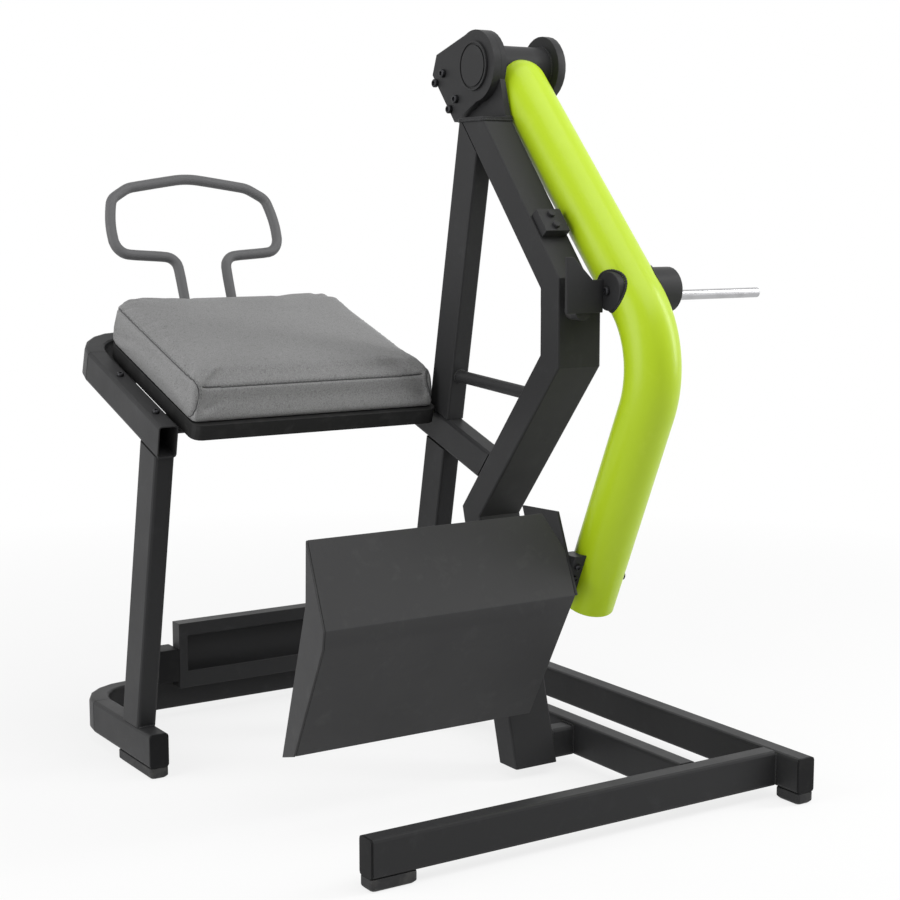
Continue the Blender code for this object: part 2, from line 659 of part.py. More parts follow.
def build_pad_frame():
    leg_lean = Vector((0, -LEG_LEAN, 1)).normalized()
    rear_face = Vector((0, leg_lean.z, -leg_lean.y))
    rear_z = pad_top(leg_front(BASE_TOP) - LEG_DEPTH)
    rear_y = leg_front(rear_z) - LEG_DEPTH / leg_lean.z
    front_y = PAD_FRAME_FRONT - HALF_TUBE * SLOPE_COS
    reach = PAD_BEND_RADIUS * SLOPE_COS
    left_x = HALF_TUBE
    left_end = pad_point(left_x, front_y - reach)
    box_tube("pad_frame_left", [pad_point(left_x, rear_y), left_end - PAD_LENGTHWISE * GAP], PAD_UP,
             PAD_FRAME_HEIGHT, TUBE_WIDTH, start_cut=rear_face)
    corners = [left_end, pad_point(left_x, front_y), pad_point(BEAM_X, front_y),
               pad_point(BEAM_X, front_y - reach)]
    bent = filleted(corners, [PAD_BEND_RADIUS, PAD_BEND_RADIUS], 5)[1:-1]
    box_tube("pad_frame_front", bent, PAD_UP, PAD_FRAME_HEIGHT, TUBE_WIDTH, start_cut=PAD_LENGTHWISE,
             end_cut=PAD_LENGTHWISE)
    beam_front = corners[-1] - PAD_LENGTHWISE * GAP
    reach = (beam_front - COLUMN_FACE).dot(COLUMN_FRONT) / PAD_LENGTHWISE.dot(COLUMN_FRONT)
    box_tube("right_beam", [beam_front - PAD_LENGTHWISE * reach, beam_front], PAD_UP, PAD_FRAME_HEIGHT,
             TUBE_WIDTH, start_cut=COLUMN_FRONT)
    for number, y in enumerate((CROSSBAR_REAR_Y, CROSSBAR_FRONT_Y), 1):
        level = PAD_UP * (BOARD_BOTTOM - CROSSBAR_HEIGHT / 2)
        start = Vector((TUBE_WIDTH + GAP, y, pad_top(y))) + level
        end = Vector((COLUMNS_LEFT - GAP, y, pad_top(y))) + level
        box_tube(f"pad_crossbar_{number}", [start, end], PAD_UP, CROSSBAR_HEIGHT, TUBE_WIDTH)
    for number, y in enumerate(FRAME_BOLT_YS, 1):
        origin = Vector((HALF_TUBE, y, pad_top(y))) + PAD_UP * GAP
        screw(f"frame_bolt_{number}", origin, PAD_UP, FRAME_BOLT_RADIUS, 0)


# Pad
def pad_outline(inset, front_corner, rear_corner, steps, low_y, high_y):
    """A rectangle in plan, round at its front corners and nearly square at its rear ones."""
    outline = []
    left = PAD_CENTRE_X - PAD_WIDTH / 2 + inset
    right = PAD_CENTRE_X + PAD_WIDTH / 2 - inset
    rear, front = low_y + inset, high_y - inset
    spots = ((right, front, -1, -1, front_corner, 0), (left, front, 1, -1, front_corner, 1),
             (left, rear, 1, 1, rear_corner, 2), (right, rear, -1, 1, rear_corner, 3))
    for x, y, into_x, into_y, corner, quarter in spots:
        radius = max(corner - inset, SMALLEST_CORNER)
        for step in range(steps + 1):
            angle = (quarter + step / steps) * pi / 2
            outline.append((x + radius * (into_x + cos(angle)), y + radius * (into_y + sin(angle))))
    return outline


def lifted(points_2d, height):
    return [Vector((x, y, pad_top(y))) + PAD_UP * height for x, y in points_2d]


def build_pad_board():
    base = pad_outline(BOARD_INSET, CUSHION_CORNER_FRONT, CUSHION_CORNER_REAR, 4, PAD_REAR + BOARD_INSET,
                       PAD_FRONT)
    points = lifted(base, BOARD_BOTTOM + GAP) + lifted(base, BOARD_TOP)
    count = len(base)
    faces = [tuple(range(count)), tuple(range(count, 2 * count))]
    for step in range(count):
        follow = (step + 1) % count
        faces.append((step, follow, count + follow, count + step))
    add_object("pad_board", mesh_of("pad_board", points, faces), BOARD_BLACK)


def build_cushion():
    """A crowned slab: tucked in at its foot, full at mid height and rolled over at its top edge."""
    floor = BOARD_TOP + GAP
    top = floor + CUSHION_THICKNESS - CUSHION_CROWN
    rolls = []
    for step in range(4):
        angle = step / 3 * pi / 2
        rolls.append((CUSHION_ROLL * (1 - cos(angle)), top - CUSHION_ROLL * (1 - sin(angle))))
    sides = [(CUSHION_TUCK, floor), (CUSHION_TUCK * CUSHION_LOWER_TUCK_SHARE, floor + CUSHION_LOWER_LEVEL),
             (0.0, floor + CUSHION_FULL_LEVEL)] + rolls
    crowns = [(CUSHION_ROLL + inset, top + CUSHION_CROWN * share) for inset, share in CUSHION_CROWN_STEPS]
    levels = sides + crowns
    corner_steps = 5
    points = []
    for inset, height in levels:
        rear = PAD_REAR + PAD_SLOPE * height
        front = PAD_FRONT + PAD_SLOPE * height * CUSHION_FRONT_LEAN
        outline = pad_outline(inset, CUSHION_CORNER_FRONT, CUSHION_CORNER_REAR, corner_steps, rear, front)
        outline = subdivided(outline)
        points.extend(lifted(outline, height))
    count = len(points) // len(levels)
    faces = [tuple(range(count))]
    for layer in range(len(levels) - 1):
        for step in range(count):
            follow = (step + 1) % count
            base = layer * count
            faces.append((base + step, base + follow, base + count + follow, base + count + step))
    last = (len(levels) - 1) * count
    points.append(sum((points[last + step] for step in range(count)), Vector()) / count)
    for step in range(count):
        faces.append((last + step, last + (step + 1) % count, len(points) - 1))
    add_object("pad_cushion", mesh_of("pad_cushion", points, faces), VINYL_GREY, smooth=True)


def subdivided(outline):
    """Adds points along the long straight stretches of an outline."""
    finer = []
    for index, (x, y) in enumerate(outline):
        next_x, next_y = outline[(index + 1) % len(outline)]
        pieces = 6 if hypot(next_x - x, next_y - y) > LONGEST_EDGE else 1
        for piece in range(pieces):
            share = piece / pieces
            finer.append((x + (next_x - x) * share, y + (next_y - y) * share))
    return finer


# Handle
def build_handle():
    """A bent bar in a plane that leans forward, welded on the pad frame's front tube."""
    up = Vector((0, HANDLE_LEAN, 1)).normalized()
    side = X_AXIS.cross(up)
    foot_y = PAD_FRAME_FRONT - HALF_TUBE * SLOPE_COS
    foot = Vector((HANDLE_CENTRE_X, foot_y, pad_top(foot_y) + GAP / SLOPE_COS))
    spots = [(HANDLE_NECK, 0), (HANDLE_NECK, HANDLE_NECK_T), HANDLE_WING, HANDLE_WIDEST, HANDLE_SHOULDER,
             HANDLE_CORNER]
    outline = [(-x, t) for x, t in spots] + [(0, HANDLE_PEAK_T)] + spots[::-1]
    corners = [foot + X_AXIS * x + up * t for x, t in outline]
    radii = [*HANDLE_BENDS, HANDLE_PEAK_BEND, *HANDLE_BENDS[::-1]]
    path = filleted(corners, radii, 4)
    mesh = swept("handle", path, side, circle(HANDLE_RADIUS, 12), start_cut=PAD_UP, end_cut=PAD_UP)
    return add_object("handle", mesh, HANDLE_GREY, smooth=True)


# Columns
def build_front_column():
    """Two lengths of one leaning tube, above and below the right beam."""
    lean = Vector((0, -FRONT_COLUMN_LEAN, 1)).normalized()
    half_run = FRONT_COLUMN_DEPTH / 2 / lean.z

    def centre(z):
        return Vector((BEAM_X, front_column_front(z) - half_run, z))

    def meeting(height):
        """Where the column's middle meets the plane that lies height above the beam's top."""
        start = centre(0)
        rise = (pad_top(start.y) + height) / (lean.z - PAD_SLOPE * lean.y)
        return start + lean * rise

    box_tube("front_column_lower", [centre(BASE_BOTTOM), meeting(-(PAD_FRAME_HEIGHT + GAP) / SLOPE_COS)],
             X_AXIS, TUBE_WIDTH, FRONT_COLUMN_DEPTH, start_cut=Z_AXIS, end_cut=PAD_UP, corner=COLUMN_CORNER)
    upper = box_tube("front_column_upper", [meeting(GAP / SLOPE_COS), centre(COLUMN_TOP)], X_AXIS, TUBE_WIDTH,
                     FRONT_COLUMN_DEPTH, start_cut=PAD_UP, end_cut=Z_AXIS, corner=COLUMN_CORNER)
    shoulder = Vector((0, *COLUMN_SHOULDER))
    aim = Vector((0, *COLUMN_AIM))
    away = (aim - shoulder).normalized()
    front = away.cross(X_AXIS)
    if front.y < 0:
        front = -front
    reach = aim.z - shoulder.z
    low = shoulder - away * COLUMN_WIDTH
    high = aim + away * COLUMN_WIDTH
    near = COLUMN_DEPTH / 2 + GAP
    outline = [(spot.y, spot.z) for spot in (low + front * near, high + front * near, high - front * reach,
                                             low - front * reach)]
    left = COLUMNS_LEFT - CUTTER_OVERRUN
    cut(upper, "column_cutter", prism("column_cutter", outline, "X", left, COLUMNS_RIGHT + CUTTER_OVERRUN))


def build_rear_column():
    """One bent tube: up from the floor, back at the knee, then forward again; it narrows at the neck."""
    middle = COLUMNS_LEFT + COLUMN_WIDTH / 2
    shoulder = Vector((middle, *COLUMN_SHOULDER))
    waist = Vector((middle, *COLUMN_WAIST))
    neck = Vector((middle, COLUMN_WAIST[0], COLUMN_NECK_Z))
    top_run = Vector((middle, *COLUMN_AIM)) - shoulder
    top = shoulder + top_run * ((COLUMN_TOP - shoulder.z) / top_run.z)
    path = [Vector((middle, COLUMN_FOOT_Y, BASE_BOTTOM)), Vector((middle, *COLUMN_KNEE)), waist, neck,
            neck + Z_AXIS * COLUMN_NECK_LENGTH, shoulder, top]
    column = box_tube("rear_column", path, X_AXIS, COLUMN_WIDTH, COLUMN_DEPTH, start_cut=Z_AXIS,
                      end_cut=Z_AXIS, corner=COLUMN_CORNER)
    for vertex in column.data.vertices:
        if vertex.co.z > COLUMN_NECK_Z + COLUMN_NECK_LENGTH / 2:
            across = (vertex.co.x - COLUMNS_LEFT) / COLUMN_WIDTH
            vertex.co.x = COLUMNS_LEFT + across * UPPER_COLUMN_WIDTH


def rear_column_lower_y(z):
    share = (z - BASE_BOTTOM) / (COLUMN_KNEE[1] - BASE_BOTTOM)
    return COLUMN_FOOT_Y + (COLUMN_KNEE[0] - COLUMN_FOOT_Y) * share


def build_ties():
    start_z = BASE_BOTTOM + TIE_HEIGHT / 2
    columns = (("column_tie_rear", COLUMNS_RIGHT, rear_column_lower_y(start_z)),
               ("column_tie_front", COLUMNS_LEFT + TUBE_WIDTH,
                front_column_front(start_z) - FRONT_COLUMN_DEPTH / 2))
    for name, left, y in columns:
        box_tube(name, [Vector((left + GAP, y, start_z)), Vector((LEFT_RAIL_LEFT - GAP, y, start_z))],
                 Z_AXIS, TIE_HEIGHT, TUBE_WIDTH)
    lean = Vector((0, -FRONT_COLUMN_LEAN, 1)).normalized()
    front_y = front_column_front(TIE_ROD_FRONT_Z) - FRONT_COLUMN_DEPTH / lean.z - GAP / lean.z
    rear_y = COLUMN_FACE.y - (TIE_ROD_REAR_Z - COLUMN_FACE.z) * COLUMN_FRONT.z / COLUMN_FRONT.y
    ends = [Vector((BEAM_X, rear_y, TIE_ROD_REAR_Z)), Vector((BEAM_X, front_y, TIE_ROD_FRONT_Z))]
    mesh = swept("tie_rod", ends, X_AXIS, circle(TIE_ROD_RADIUS, 16), start_cut=COLUMN_FRONT,
                 end_cut=Vector((0, lean.z, -lean.y)))
    add_object("tie_rod", mesh, FRAME_BLACK, smooth=True)


# Pivot and head
def head_outline(foot=()):
    """The housing's round end and its bolt ear, with a foot under it for the head plate."""
    radius = HOUSING_RADIUS
    ear_turn = atan2(EAR_UPPER[1], EAR_UPPER[0])
    start = ear_turn + pi * EAR_UPPER_TURN
    end = atan2(EAR_LOWER[1], EAR_LOWER[0]) + 2 * pi - pi * EAR_LOWER_TURN
    outline = []
    steps = 20
    for step in range(steps + 1):
        angle = start + (end - start) * step / steps
        outline.append((PIVOT_Y + radius * cos(angle), PIVOT_Z + radius * sin(angle)))
    if foot:
        below = PIVOT_Z - radius / 2
        outline = [spot for spot in outline if spot[0] <= foot[0][0] or spot[1] >= below]
        outline.extend(foot)
    for dy, dz in (EAR_LOWER, EAR_OUTER, EAR_UPPER):
        outline.append((PIVOT_Y + dy, PIVOT_Z + dz))
    return outline


def build_head():
    cap_top = COLUMN_TOP + GAP + COLUMN_CAP_THICKNESS
    run = (COLUMN_AIM[1] - COLUMN_SHOULDER[1]) / (COLUMN_AIM[0] - COLUMN_SHOULDER[0])
    top_y = COLUMN_AIM[0] - (COLUMN_AIM[1] - COLUMN_TOP) / run
    half_cut = COLUMN_DEPTH / 2 * hypot(1, 1 / run)
    front = front_column_front(COLUMN_TOP)
    rear = top_y - half_cut
    cap = block("column_cap", (COLUMNS_LEFT, rear, COLUMN_TOP + GAP), (HEAD_PLATE_RIGHT, front, cap_top))
    add_object("column_cap", cap, FRAME_BLACK)
    foot = [(rear + HEAD_PLATE_INSET, cap_top + GAP), (front, cap_top + GAP)]
    plate = prism("head_plate", head_outline(foot), "X", HEAD_PLATE_LEFT, HEAD_PLATE_RIGHT)
    head_plate = add_object("head_plate", plate, FRAME_BLACK)
    housing = prism("bearing_housing", head_outline(), "X", HOUSING_LEFT, HOUSING_RIGHT)
    bearing_housing = add_object("bearing_housing", housing, FRAME_BLACK)
    through = HOUSING_THICKNESS + HEAD_PLATE_THICKNESS
    cutter_length = through + CUTTER_OVERRUN * 2
    for target in (head_plate, bearing_housing):
        name = target.name + "_bore"
        origin = Vector((HOUSING_LEFT - CUTTER_OVERRUN, PIVOT_Y, PIVOT_Z))
        cut(target, name, disc(name, origin, X_AXIS, SHAFT_RADIUS + GAP, cutter_length))
    for number, (dy, dz) in enumerate(HOUSING_BOLTS, 1):
        spot = Vector((HOUSING_LEFT, PIVOT_Y + dy, PIVOT_Z + dz))
        for target in (head_plate, bearing_housing):
            name = f"{target.name}_hole_{number}"
            cut(target, name, disc(name, spot - X_AXIS * CUTTER_OVERRUN, X_AXIS, HOUSING_BOLT_RADIUS + GAP,
                                   cutter_length, steps=SCREW_STEPS))
        screw(f"housing_bolt_{number}", spot - X_AXIS * GAP, -X_AXIS, HOUSING_BOLT_HEAD, through,
              shank_radius=HOUSING_BOLT_RADIUS)
    rim = HOUSING_CAP_RADIUS - CAP_GROOVE_WIDTH
    middle = rim - CAP_GROOVE_WIDTH
    floor = HOUSING_CAP_THICKNESS - CAP_GROOVE_DEPTH
    profile = [(0, 0), (0, HOUSING_CAP_RADIUS), (HOUSING_CAP_THICKNESS, HOUSING_CAP_RADIUS),
               (HOUSING_CAP_THICKNESS, rim), (floor, rim), (floor, middle), (HOUSING_CAP_THICKNESS, middle),
               (HOUSING_CAP_THICKNESS, 0)]
    cap_mesh = revolved("housing_cap", profile, Vector((HOUSING_LEFT - GAP, PIVOT_Y, PIVOT_Z)), -X_AXIS)
    add_object("housing_cap", cap_mesh, FRAME_BLACK, smooth=True)


def build_pivot():
    shaft_end = SLEEVE_RIGHT - SHAFT_SETBACK
    start = Vector((HOUSING_LEFT, PIVOT_Y, PIVOT_Z))
    shaft = disc("pivot_shaft", start, X_AXIS, SHAFT_RADIUS, shaft_end - HOUSING_LEFT, SHAFT_BEVEL)
    add_object("pivot_shaft", shaft, BRIGHT_STEEL, smooth=True)
    sleeve_left = HEAD_PLATE_RIGHT + RUNNING_GAP
    profile = [(0, SLEEVE_BORE), (0, SLEEVE_RADIUS), (SLEEVE_RIGHT - sleeve_left, SLEEVE_RADIUS),
               (SLEEVE_RIGHT - sleeve_left, SLEEVE_BORE)]
    origin = Vector((sleeve_left, PIVOT_Y, PIVOT_Z))
    add_object("hub_sleeve", revolved("hub_sleeve", profile, origin, X_AXIS, closed=True), FRAME_BLACK,
               True, True)
    ring = [(0, SHAFT_RADIUS + GAP), (0, SLEEVE_BORE - GAP), (BEARING_WIDTH, SLEEVE_BORE - GAP),
            (BEARING_WIDTH, SHAFT_RADIUS + GAP)]
    right = SLEEVE_RIGHT - BEARING_WIDTH - RIGHT_BEARING_SETBACK
    for number, x in enumerate((sleeve_left + LEFT_BEARING_SETBACK, right), 1):
        name = f"hub_bearing_{number}"
        mesh = revolved(name, ring, Vector((x, PIVOT_Y, PIVOT_Z)), X_AXIS, closed=True)
        add_object(name, mesh, BRIGHT_STEEL, True, True)
    disc_origin = Vector((SLEEVE_RIGHT + GAP, PIVOT_Y, PIVOT_Z))
    edge = END_DISC_RADIUS - END_DISC_BEVEL
    floor = END_DISC_THICKNESS - END_DISC_RECESS
    profile = [(0, 0), (0, END_DISC_RADIUS), (END_DISC_THICKNESS - END_DISC_BEVEL, END_DISC_RADIUS),
               (END_DISC_THICKNESS, edge), (END_DISC_THICKNESS, SHAFT_RADIUS), (floor, SHAFT_RADIUS),
               (floor, 0)]
    add_object("end_disc", revolved("end_disc", profile, disc_origin, X_AXIS), FRAME_BLACK, True, True)


# Arm
def arm_spot(y, z):
    return Vector((ARM_X, y, z))


def arm_direction(first, second):
    return (Vector((0, *second)) - Vector((0, *first))).normalized()


def build_arm():
    """A round tube with one bend; its domed top is saddled over the hub sleeve."""
    corner = arm_spot(*ARM_CORNER)
    pivot = arm_spot(PIVOT_Y, PIVOT_Z)
    up = (pivot - corner).normalized()
    dome_centre = pivot - up * ARM_TOP_SETBACK
    path = filleted([arm_spot(*ARM_END), corner, dome_centre], [ARM_BEND_RADIUS], ARM_BEND_STEPS)
    steps = ROUND_STEPS
    down = arm_direction(ARM_CORNER, ARM_END)
    across = X_AXIS.cross(up)
    inner_path = [path[0] - down * ARM_WALL] + path[1:]
    points = []
    faces = []
    for centres, radius, edge in ((path, ARM_RADIUS, ARM_END_EDGE), (inner_path, ARM_RADIUS - ARM_WALL, 0)):
        rings = ring_sets(centres, X_AXIS, circle(radius, steps), None, None)
        if edge:
            rim = centres[0]
            narrow = [rim + down * edge + (spot - rim) * (1 - edge / radius) for spot in rings[0]]
            rings.insert(0, narrow)
        for step in range(1, ARM_DOME_STEPS):
            angle = step / ARM_DOME_STEPS * pi / 2
            centre = dome_centre + up * radius * sin(angle)
            rings.append([centre + X_AXIS * a + across * b for a, b in circle(radius * cos(angle), steps)])
        first = len(points)
        points.extend(spot for ring in rings for spot in ring)
        points.append(dome_centre + up * radius)
        faces.append(tuple(range(first, first + steps)))
        for layer in range(len(rings)):
            for step in range(steps):
                base = first + layer * steps
                follow = (step + 1) % steps
                if layer + 1 < len(rings):
                    faces.append((base + step, base + follow, base + steps + follow, base + steps + step))
                else:
                    faces.append((base + step, base + follow, len(points) - 1))
    arm = add_object("arm", mesh_of("arm", points, faces), ARM_GREEN, True, True)
    reach = ARM_RADIUS * 2
    cut(arm, "sleeve_cutter", disc("sleeve_cutter", pivot - X_AXIS * reach, X_AXIS, SLEEVE_RADIUS + GAP,
                                   reach * 2))
    hub_start = Vector((ARM_X, HORN_Y, HORN_Z))
    cut(arm, "hub_cutter", disc("hub_cutter", hub_start, X_AXIS, RIGHT_HUB_RADIUS + GAP, reach))
    cut(arm, "boss_cutter", disc("boss_cutter", hub_start, -X_AXIS, LEFT_BOSS_RADIUS + GAP, reach))


def build_horn():
    """The boss, the hub and the rod lie on short lateral axes through the arm."""
    core = Vector((ARM_X - GAP, HORN_Y, HORN_Z))
    boss = disc("left_boss", core, -X_AXIS, LEFT_BOSS_RADIUS, core.x - LEFT_BOSS_START, HUB_BEVEL)
    add_object("left_boss", boss, FRAME_BLACK, True, True)
    hub_origin = Vector((ARM_X + GAP, HORN_Y, HORN_Z))
    hub = disc("right_hub", hub_origin, X_AXIS, RIGHT_HUB_RADIUS, RIGHT_HUB_END - hub_origin.x, HUB_BEVEL)
    add_object("right_hub", hub, FRAME_BLACK, True, True)
    rod_origin = Vector((RIGHT_HUB_END + GAP, HORN_Y, ROD_Z))
    rod = disc("side_rod", rod_origin, X_AXIS, ROD_RADIUS, ROD_END - rod_origin.x, HUB_BEVEL, 20)
    add_object("side_rod", rod, BRIGHT_STEEL, True, True)
    screw("boss_bolt", Vector((LEFT_BOSS_START - GAP, HORN_Y, HORN_Z)), -X_AXIS, BOSS_BOLT_RADIUS, 0, True)


# Stop tab and bumpers
def build_stop():
    """The tab on the left boss reaches behind the rear column, where it rests on a rubber bumper."""
    right = LEFT_BOSS_START - GAP
    peak = TAB_LEFT + TAB_PEAK_WIDTH
    outline = [(TAB_LEFT, TAB_BOTTOM), (right, TAB_BOTTOM), (right, TAB_TOP),
               (peak + TAB_SLOPE_WIDTH, TAB_TOP), (peak, TAB_PEAK), (TAB_LEFT, TAB_PEAK)]
    tab = prism("stop_tab", outline, "Y", TAB_REAR, TAB_REAR + TAB_THICKNESS)
    add_object("stop_tab", tab, FRAME_BLACK, True)
    start = TAB_REAR + TAB_THICKNESS + GAP
    length = COLUMN_WAIST[0] - COLUMN_DEPTH / 2 - GAP - start
    bumper = disc("stop_bumper", Vector((BUMPER_X, start, BUMPER_Z)), Y_AXIS, BUMPER_RADIUS, length, steps=20)
    add_object("stop_bumper", bumper, RUBBER_BLACK, smooth=True)


def build_bumper_block():
    """A block with two bolts on the rear column's upper length, above the stop tab."""
    shoulder = Vector((0, *COLUMN_SHOULDER))
    along = (Vector((0, *COLUMN_AIM)) - shoulder).normalized()
    back = Vector((0, -along.z, along.y))
    centre = shoulder + along * ((BLOCK_Z - shoulder.z) / along.z)
    face = centre + back * (COLUMN_DEPTH / 2 + GAP)
    middle = COLUMNS_LEFT + UPPER_COLUMN_WIDTH / 2
    points = []
    for level in (0, BLOCK_THICKNESS):
        for x, t in ((-1, -1), (1, -1), (1, 1), (-1, 1)):
            across = X_AXIS * (middle + x * BLOCK_WIDTH / 2)
            points.append(face + back * level + across + along * (t * BLOCK_LENGTH / 2))
    faces = [(0, 1, 2, 3), (4, 5, 6, 7), (0, 1, 5, 4), (1, 2, 6, 5), (2, 3, 7, 6), (3, 0, 4, 7)]
    bumper_block = add_object("bumper_block", mesh_of("bumper_block", points, faces), FRAME_BLACK)
    for number, t in enumerate((-1, 1), 1):
        origin = face + back * (BLOCK_THICKNESS - BLOCK_BOLT_BITE) + along * (t * BLOCK_LENGTH / 4)
        name = f"block_bolt_{number}"
        bolt = disc(name, origin + X_AXIS * middle, back, BLOCK_BOLT_RADIUS, BLOCK_BOLT_LENGTH, SHAFT_BEVEL,
                    SCREW_STEPS)
        cut(bumper_block, name, bolt, "UNION")


# Foot plate
def between(first, second, share):
    return tuple(a + (b - a) * share for a, b in zip(first, second))


def build_foot_plate():
    """A folded sheet: upper panel, dark nose band, lower panel and a bevel at the lower right."""
    chamfer = between(PLATE_TOP, PLATE_CREASE, PLATE_CHAMFER_T)
    lower_mid = between(PLATE_NOSE, PLATE_BOTTOM, LOWER_RIGHT_MID_T)
    outer = [(PLATE_LEFT, *PLATE_TOP), (PLATE_CHAMFER_X, *PLATE_TOP), (PLATE_RIGHT, *chamfer),
             (PLATE_RIGHT, *PLATE_CREASE), (PLATE_LEFT, *PLATE_CREASE), (PLATE_LEFT, *PLATE_NOSE),
             (LOWER_RIGHT_TOP_X, *PLATE_NOSE), (LOWER_RIGHT_MID_X, *lower_mid),
             (LOWER_RIGHT_END_X, *PLATE_BOTTOM), (PLATE_LEFT, *PLATE_BOTTOM)]
    faces = [(0, 1, 2, 3, 4), (4, 3, 6, 5), (5, 6, 7, 8, 9), (3, 7, 6), (3, 8, 7)]
    mesh = bpy.data.meshes.new("foot_plate")
    mesh.from_pydata(outer, [], faces)
    work = bmesh.new()
    work.from_mesh(mesh)
    bmesh.ops.recalc_face_normals(work, faces=work.faces)
    work.faces.ensure_lookup_table()
    if work.faces[0].normal.y > 0:
        bmesh.ops.reverse_faces(work, faces=work.faces)
    work.to_mesh(mesh)
    work.free()
    plate = add_object("foot_plate", mesh, PLATE_GREY, True)
    thicken = plate.modifiers.new("sheet", "SOLIDIFY")
    thicken.thickness = PLATE_SHEET
    thicken.offset = -1
    thicken.use_even_offset = True
    thicken.use_quality_normals = True
    inset = PLATE_LEFT - GAP
    wall = prism("foot_plate_wall", [PLATE_TOP, PLATE_CREASE, PLATE_NOSE, PLATE_BOTTOM, WALL_FRONT_BOTTOM,
                                     WALL_FRONT_TOP], "X", inset - PLATE_SHEET, inset)
    add_object("foot_plate_wall", wall, PLATE_GREY, True)
    gusset_left = PLATE_RIGHT + GAP
    outline = [PLATE_TOP, PLATE_CREASE, GUSSET_FRONT_LOW, GUSSET_FRONT_TOP]
    gusset = prism("foot_plate_gusset", outline, "X", gusset_left, gusset_left + GUSSET_THICKNESS)
    add_object("foot_plate_gusset", gusset, FRAME_BLACK, True)
    return gusset_left + GUSSET_THICKNESS


def build_plate_mount(gusset_right):
    """A block welded to the arm's left side; the gusset is bolted to it."""
    down = arm_direction(ARM_CORNER, ARM_END)
    slope = down.y / down.z

    def arm_y(z):
        return ARM_END[0] + slope * (z - ARM_END[1])

    low, high = MOUNT_BLOCK_Z
    left = gusset_right + GAP
    outline = [(arm_y(low) + MOUNT_BLOCK_REAR, low), (arm_y(low) + MOUNT_BLOCK_FRONT, low),
               (arm_y(high) + MOUNT_BLOCK_FRONT, high), (arm_y(high) + MOUNT_BLOCK_REAR, high)]
    mesh = prism("plate_mount_block", outline, "X", left, ARM_X - ARM_RADIUS * MOUNT_BLOCK_REACH)
    mount = add_object("plate_mount_block", mesh, FRAME_BLACK, True)
    start = arm_spot(arm_y(high + ARM_RADIUS), high + ARM_RADIUS)
    end = arm_spot(arm_y(low - ARM_RADIUS), low - ARM_RADIUS)
    cutter = swept("mount_cutter", [start, end], X_AXIS, circle(ARM_RADIUS + GAP, ROUND_STEPS))
    cut(mount, "mount_cutter", cutter)
    rear = Vector((0, down.z, -down.y))
    if rear.y > 0:
        rear = -rear
    bolt_x = (left + ARM_X - ARM_RADIUS) / 2
    for number, z in enumerate(MOUNT_BOLT_ZS, 1):
        spot = Vector((bolt_x, arm_y(z) + MOUNT_BLOCK_REAR, z)) + rear * GAP
        screw(f"mount_bolt_{number}", spot, rear, MOUNT_BOLT_RADIUS, 0, True)
    stand_off = THROUGH_BOLT_REACH - GAP * 2
    side = Vector((ARM_X + ARM_RADIUS + THROUGH_BOLT_REACH, arm_y(THROUGH_BOLT_Z), THROUGH_BOLT_Z))
    screw("through_bolt", side, X_AXIS, THROUGH_BOLT_RADIUS, stand_off, True)


# Toe board
def build_toe_board():
    """A hollow board on the front cross tube's rear face, with a recess open towards the rear."""
    front = FRONT_TUBE_REAR - GAP
    low = (TOE_LEFT, TOE_REAR, TOE_BOTTOM)
    board = add_object("toe_board", block("toe_board", low, (TOE_RIGHT, front, TOE_TOP)), FRAME_BLACK)
    sheet = TOE_SHEET
    hollow = block("toe_hollow", (TOE_LEFT + sheet, TOE_REAR + sheet, TOE_BOTTOM + sheet),
                   (TOE_RIGHT - sheet, front - sheet, TOE_TOP - sheet))
    cut(board, "toe_hollow", hollow)
    opening = block("toe_opening", (TOE_LEFT + TOE_SIDE_LIP, TOE_REAR - sheet, TOE_BOTTOM + TOE_LOWER_LIP),
                    (TOE_RIGHT - TOE_SIDE_LIP, TOE_REAR + sheet * 2, TOE_TOP - TOE_UPPER_LIP))
    cut(board, "toe_opening", opening)
    bracket = block("toe_board_bracket", (TOE_LEFT - GAP - TOE_BRACKET_WIDTH, TOE_REAR, BASE_TOP + GAP),
                    (TOE_LEFT - GAP, FRONT_TUBE_REAR + HALF_TUBE, TOE_BRACKET_TOP))
    add_object("toe_board_bracket", bracket, CAP_BLACK)


build_floor_frame()
build_feet()
build_leg()
build_pad_frame()
build_pad_board()
build_cushion()
handle = build_handle()
build_front_column()
build_rear_column()
build_ties()
build_head()
build_pivot()
build_arm()
build_horn()
build_stop()
build_bumper_block()
build_plate_mount(build_foot_plate())
build_toe_board()

# The machine's width ends at the rod and its length at the handle
length = max(vertex.co.y for vertex in handle.data.vertices)
machine.location = (-ROD_END / 2, -length / 2, -FLOOR_LEVEL)
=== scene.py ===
import json
from math import cos, pi, radians, sin, tan

import bmesh
import bpy
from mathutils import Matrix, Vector, kdtree, noise
from mathutils.bvhtree import BVHTree
from mathutils.geometry import convex_hull_2d


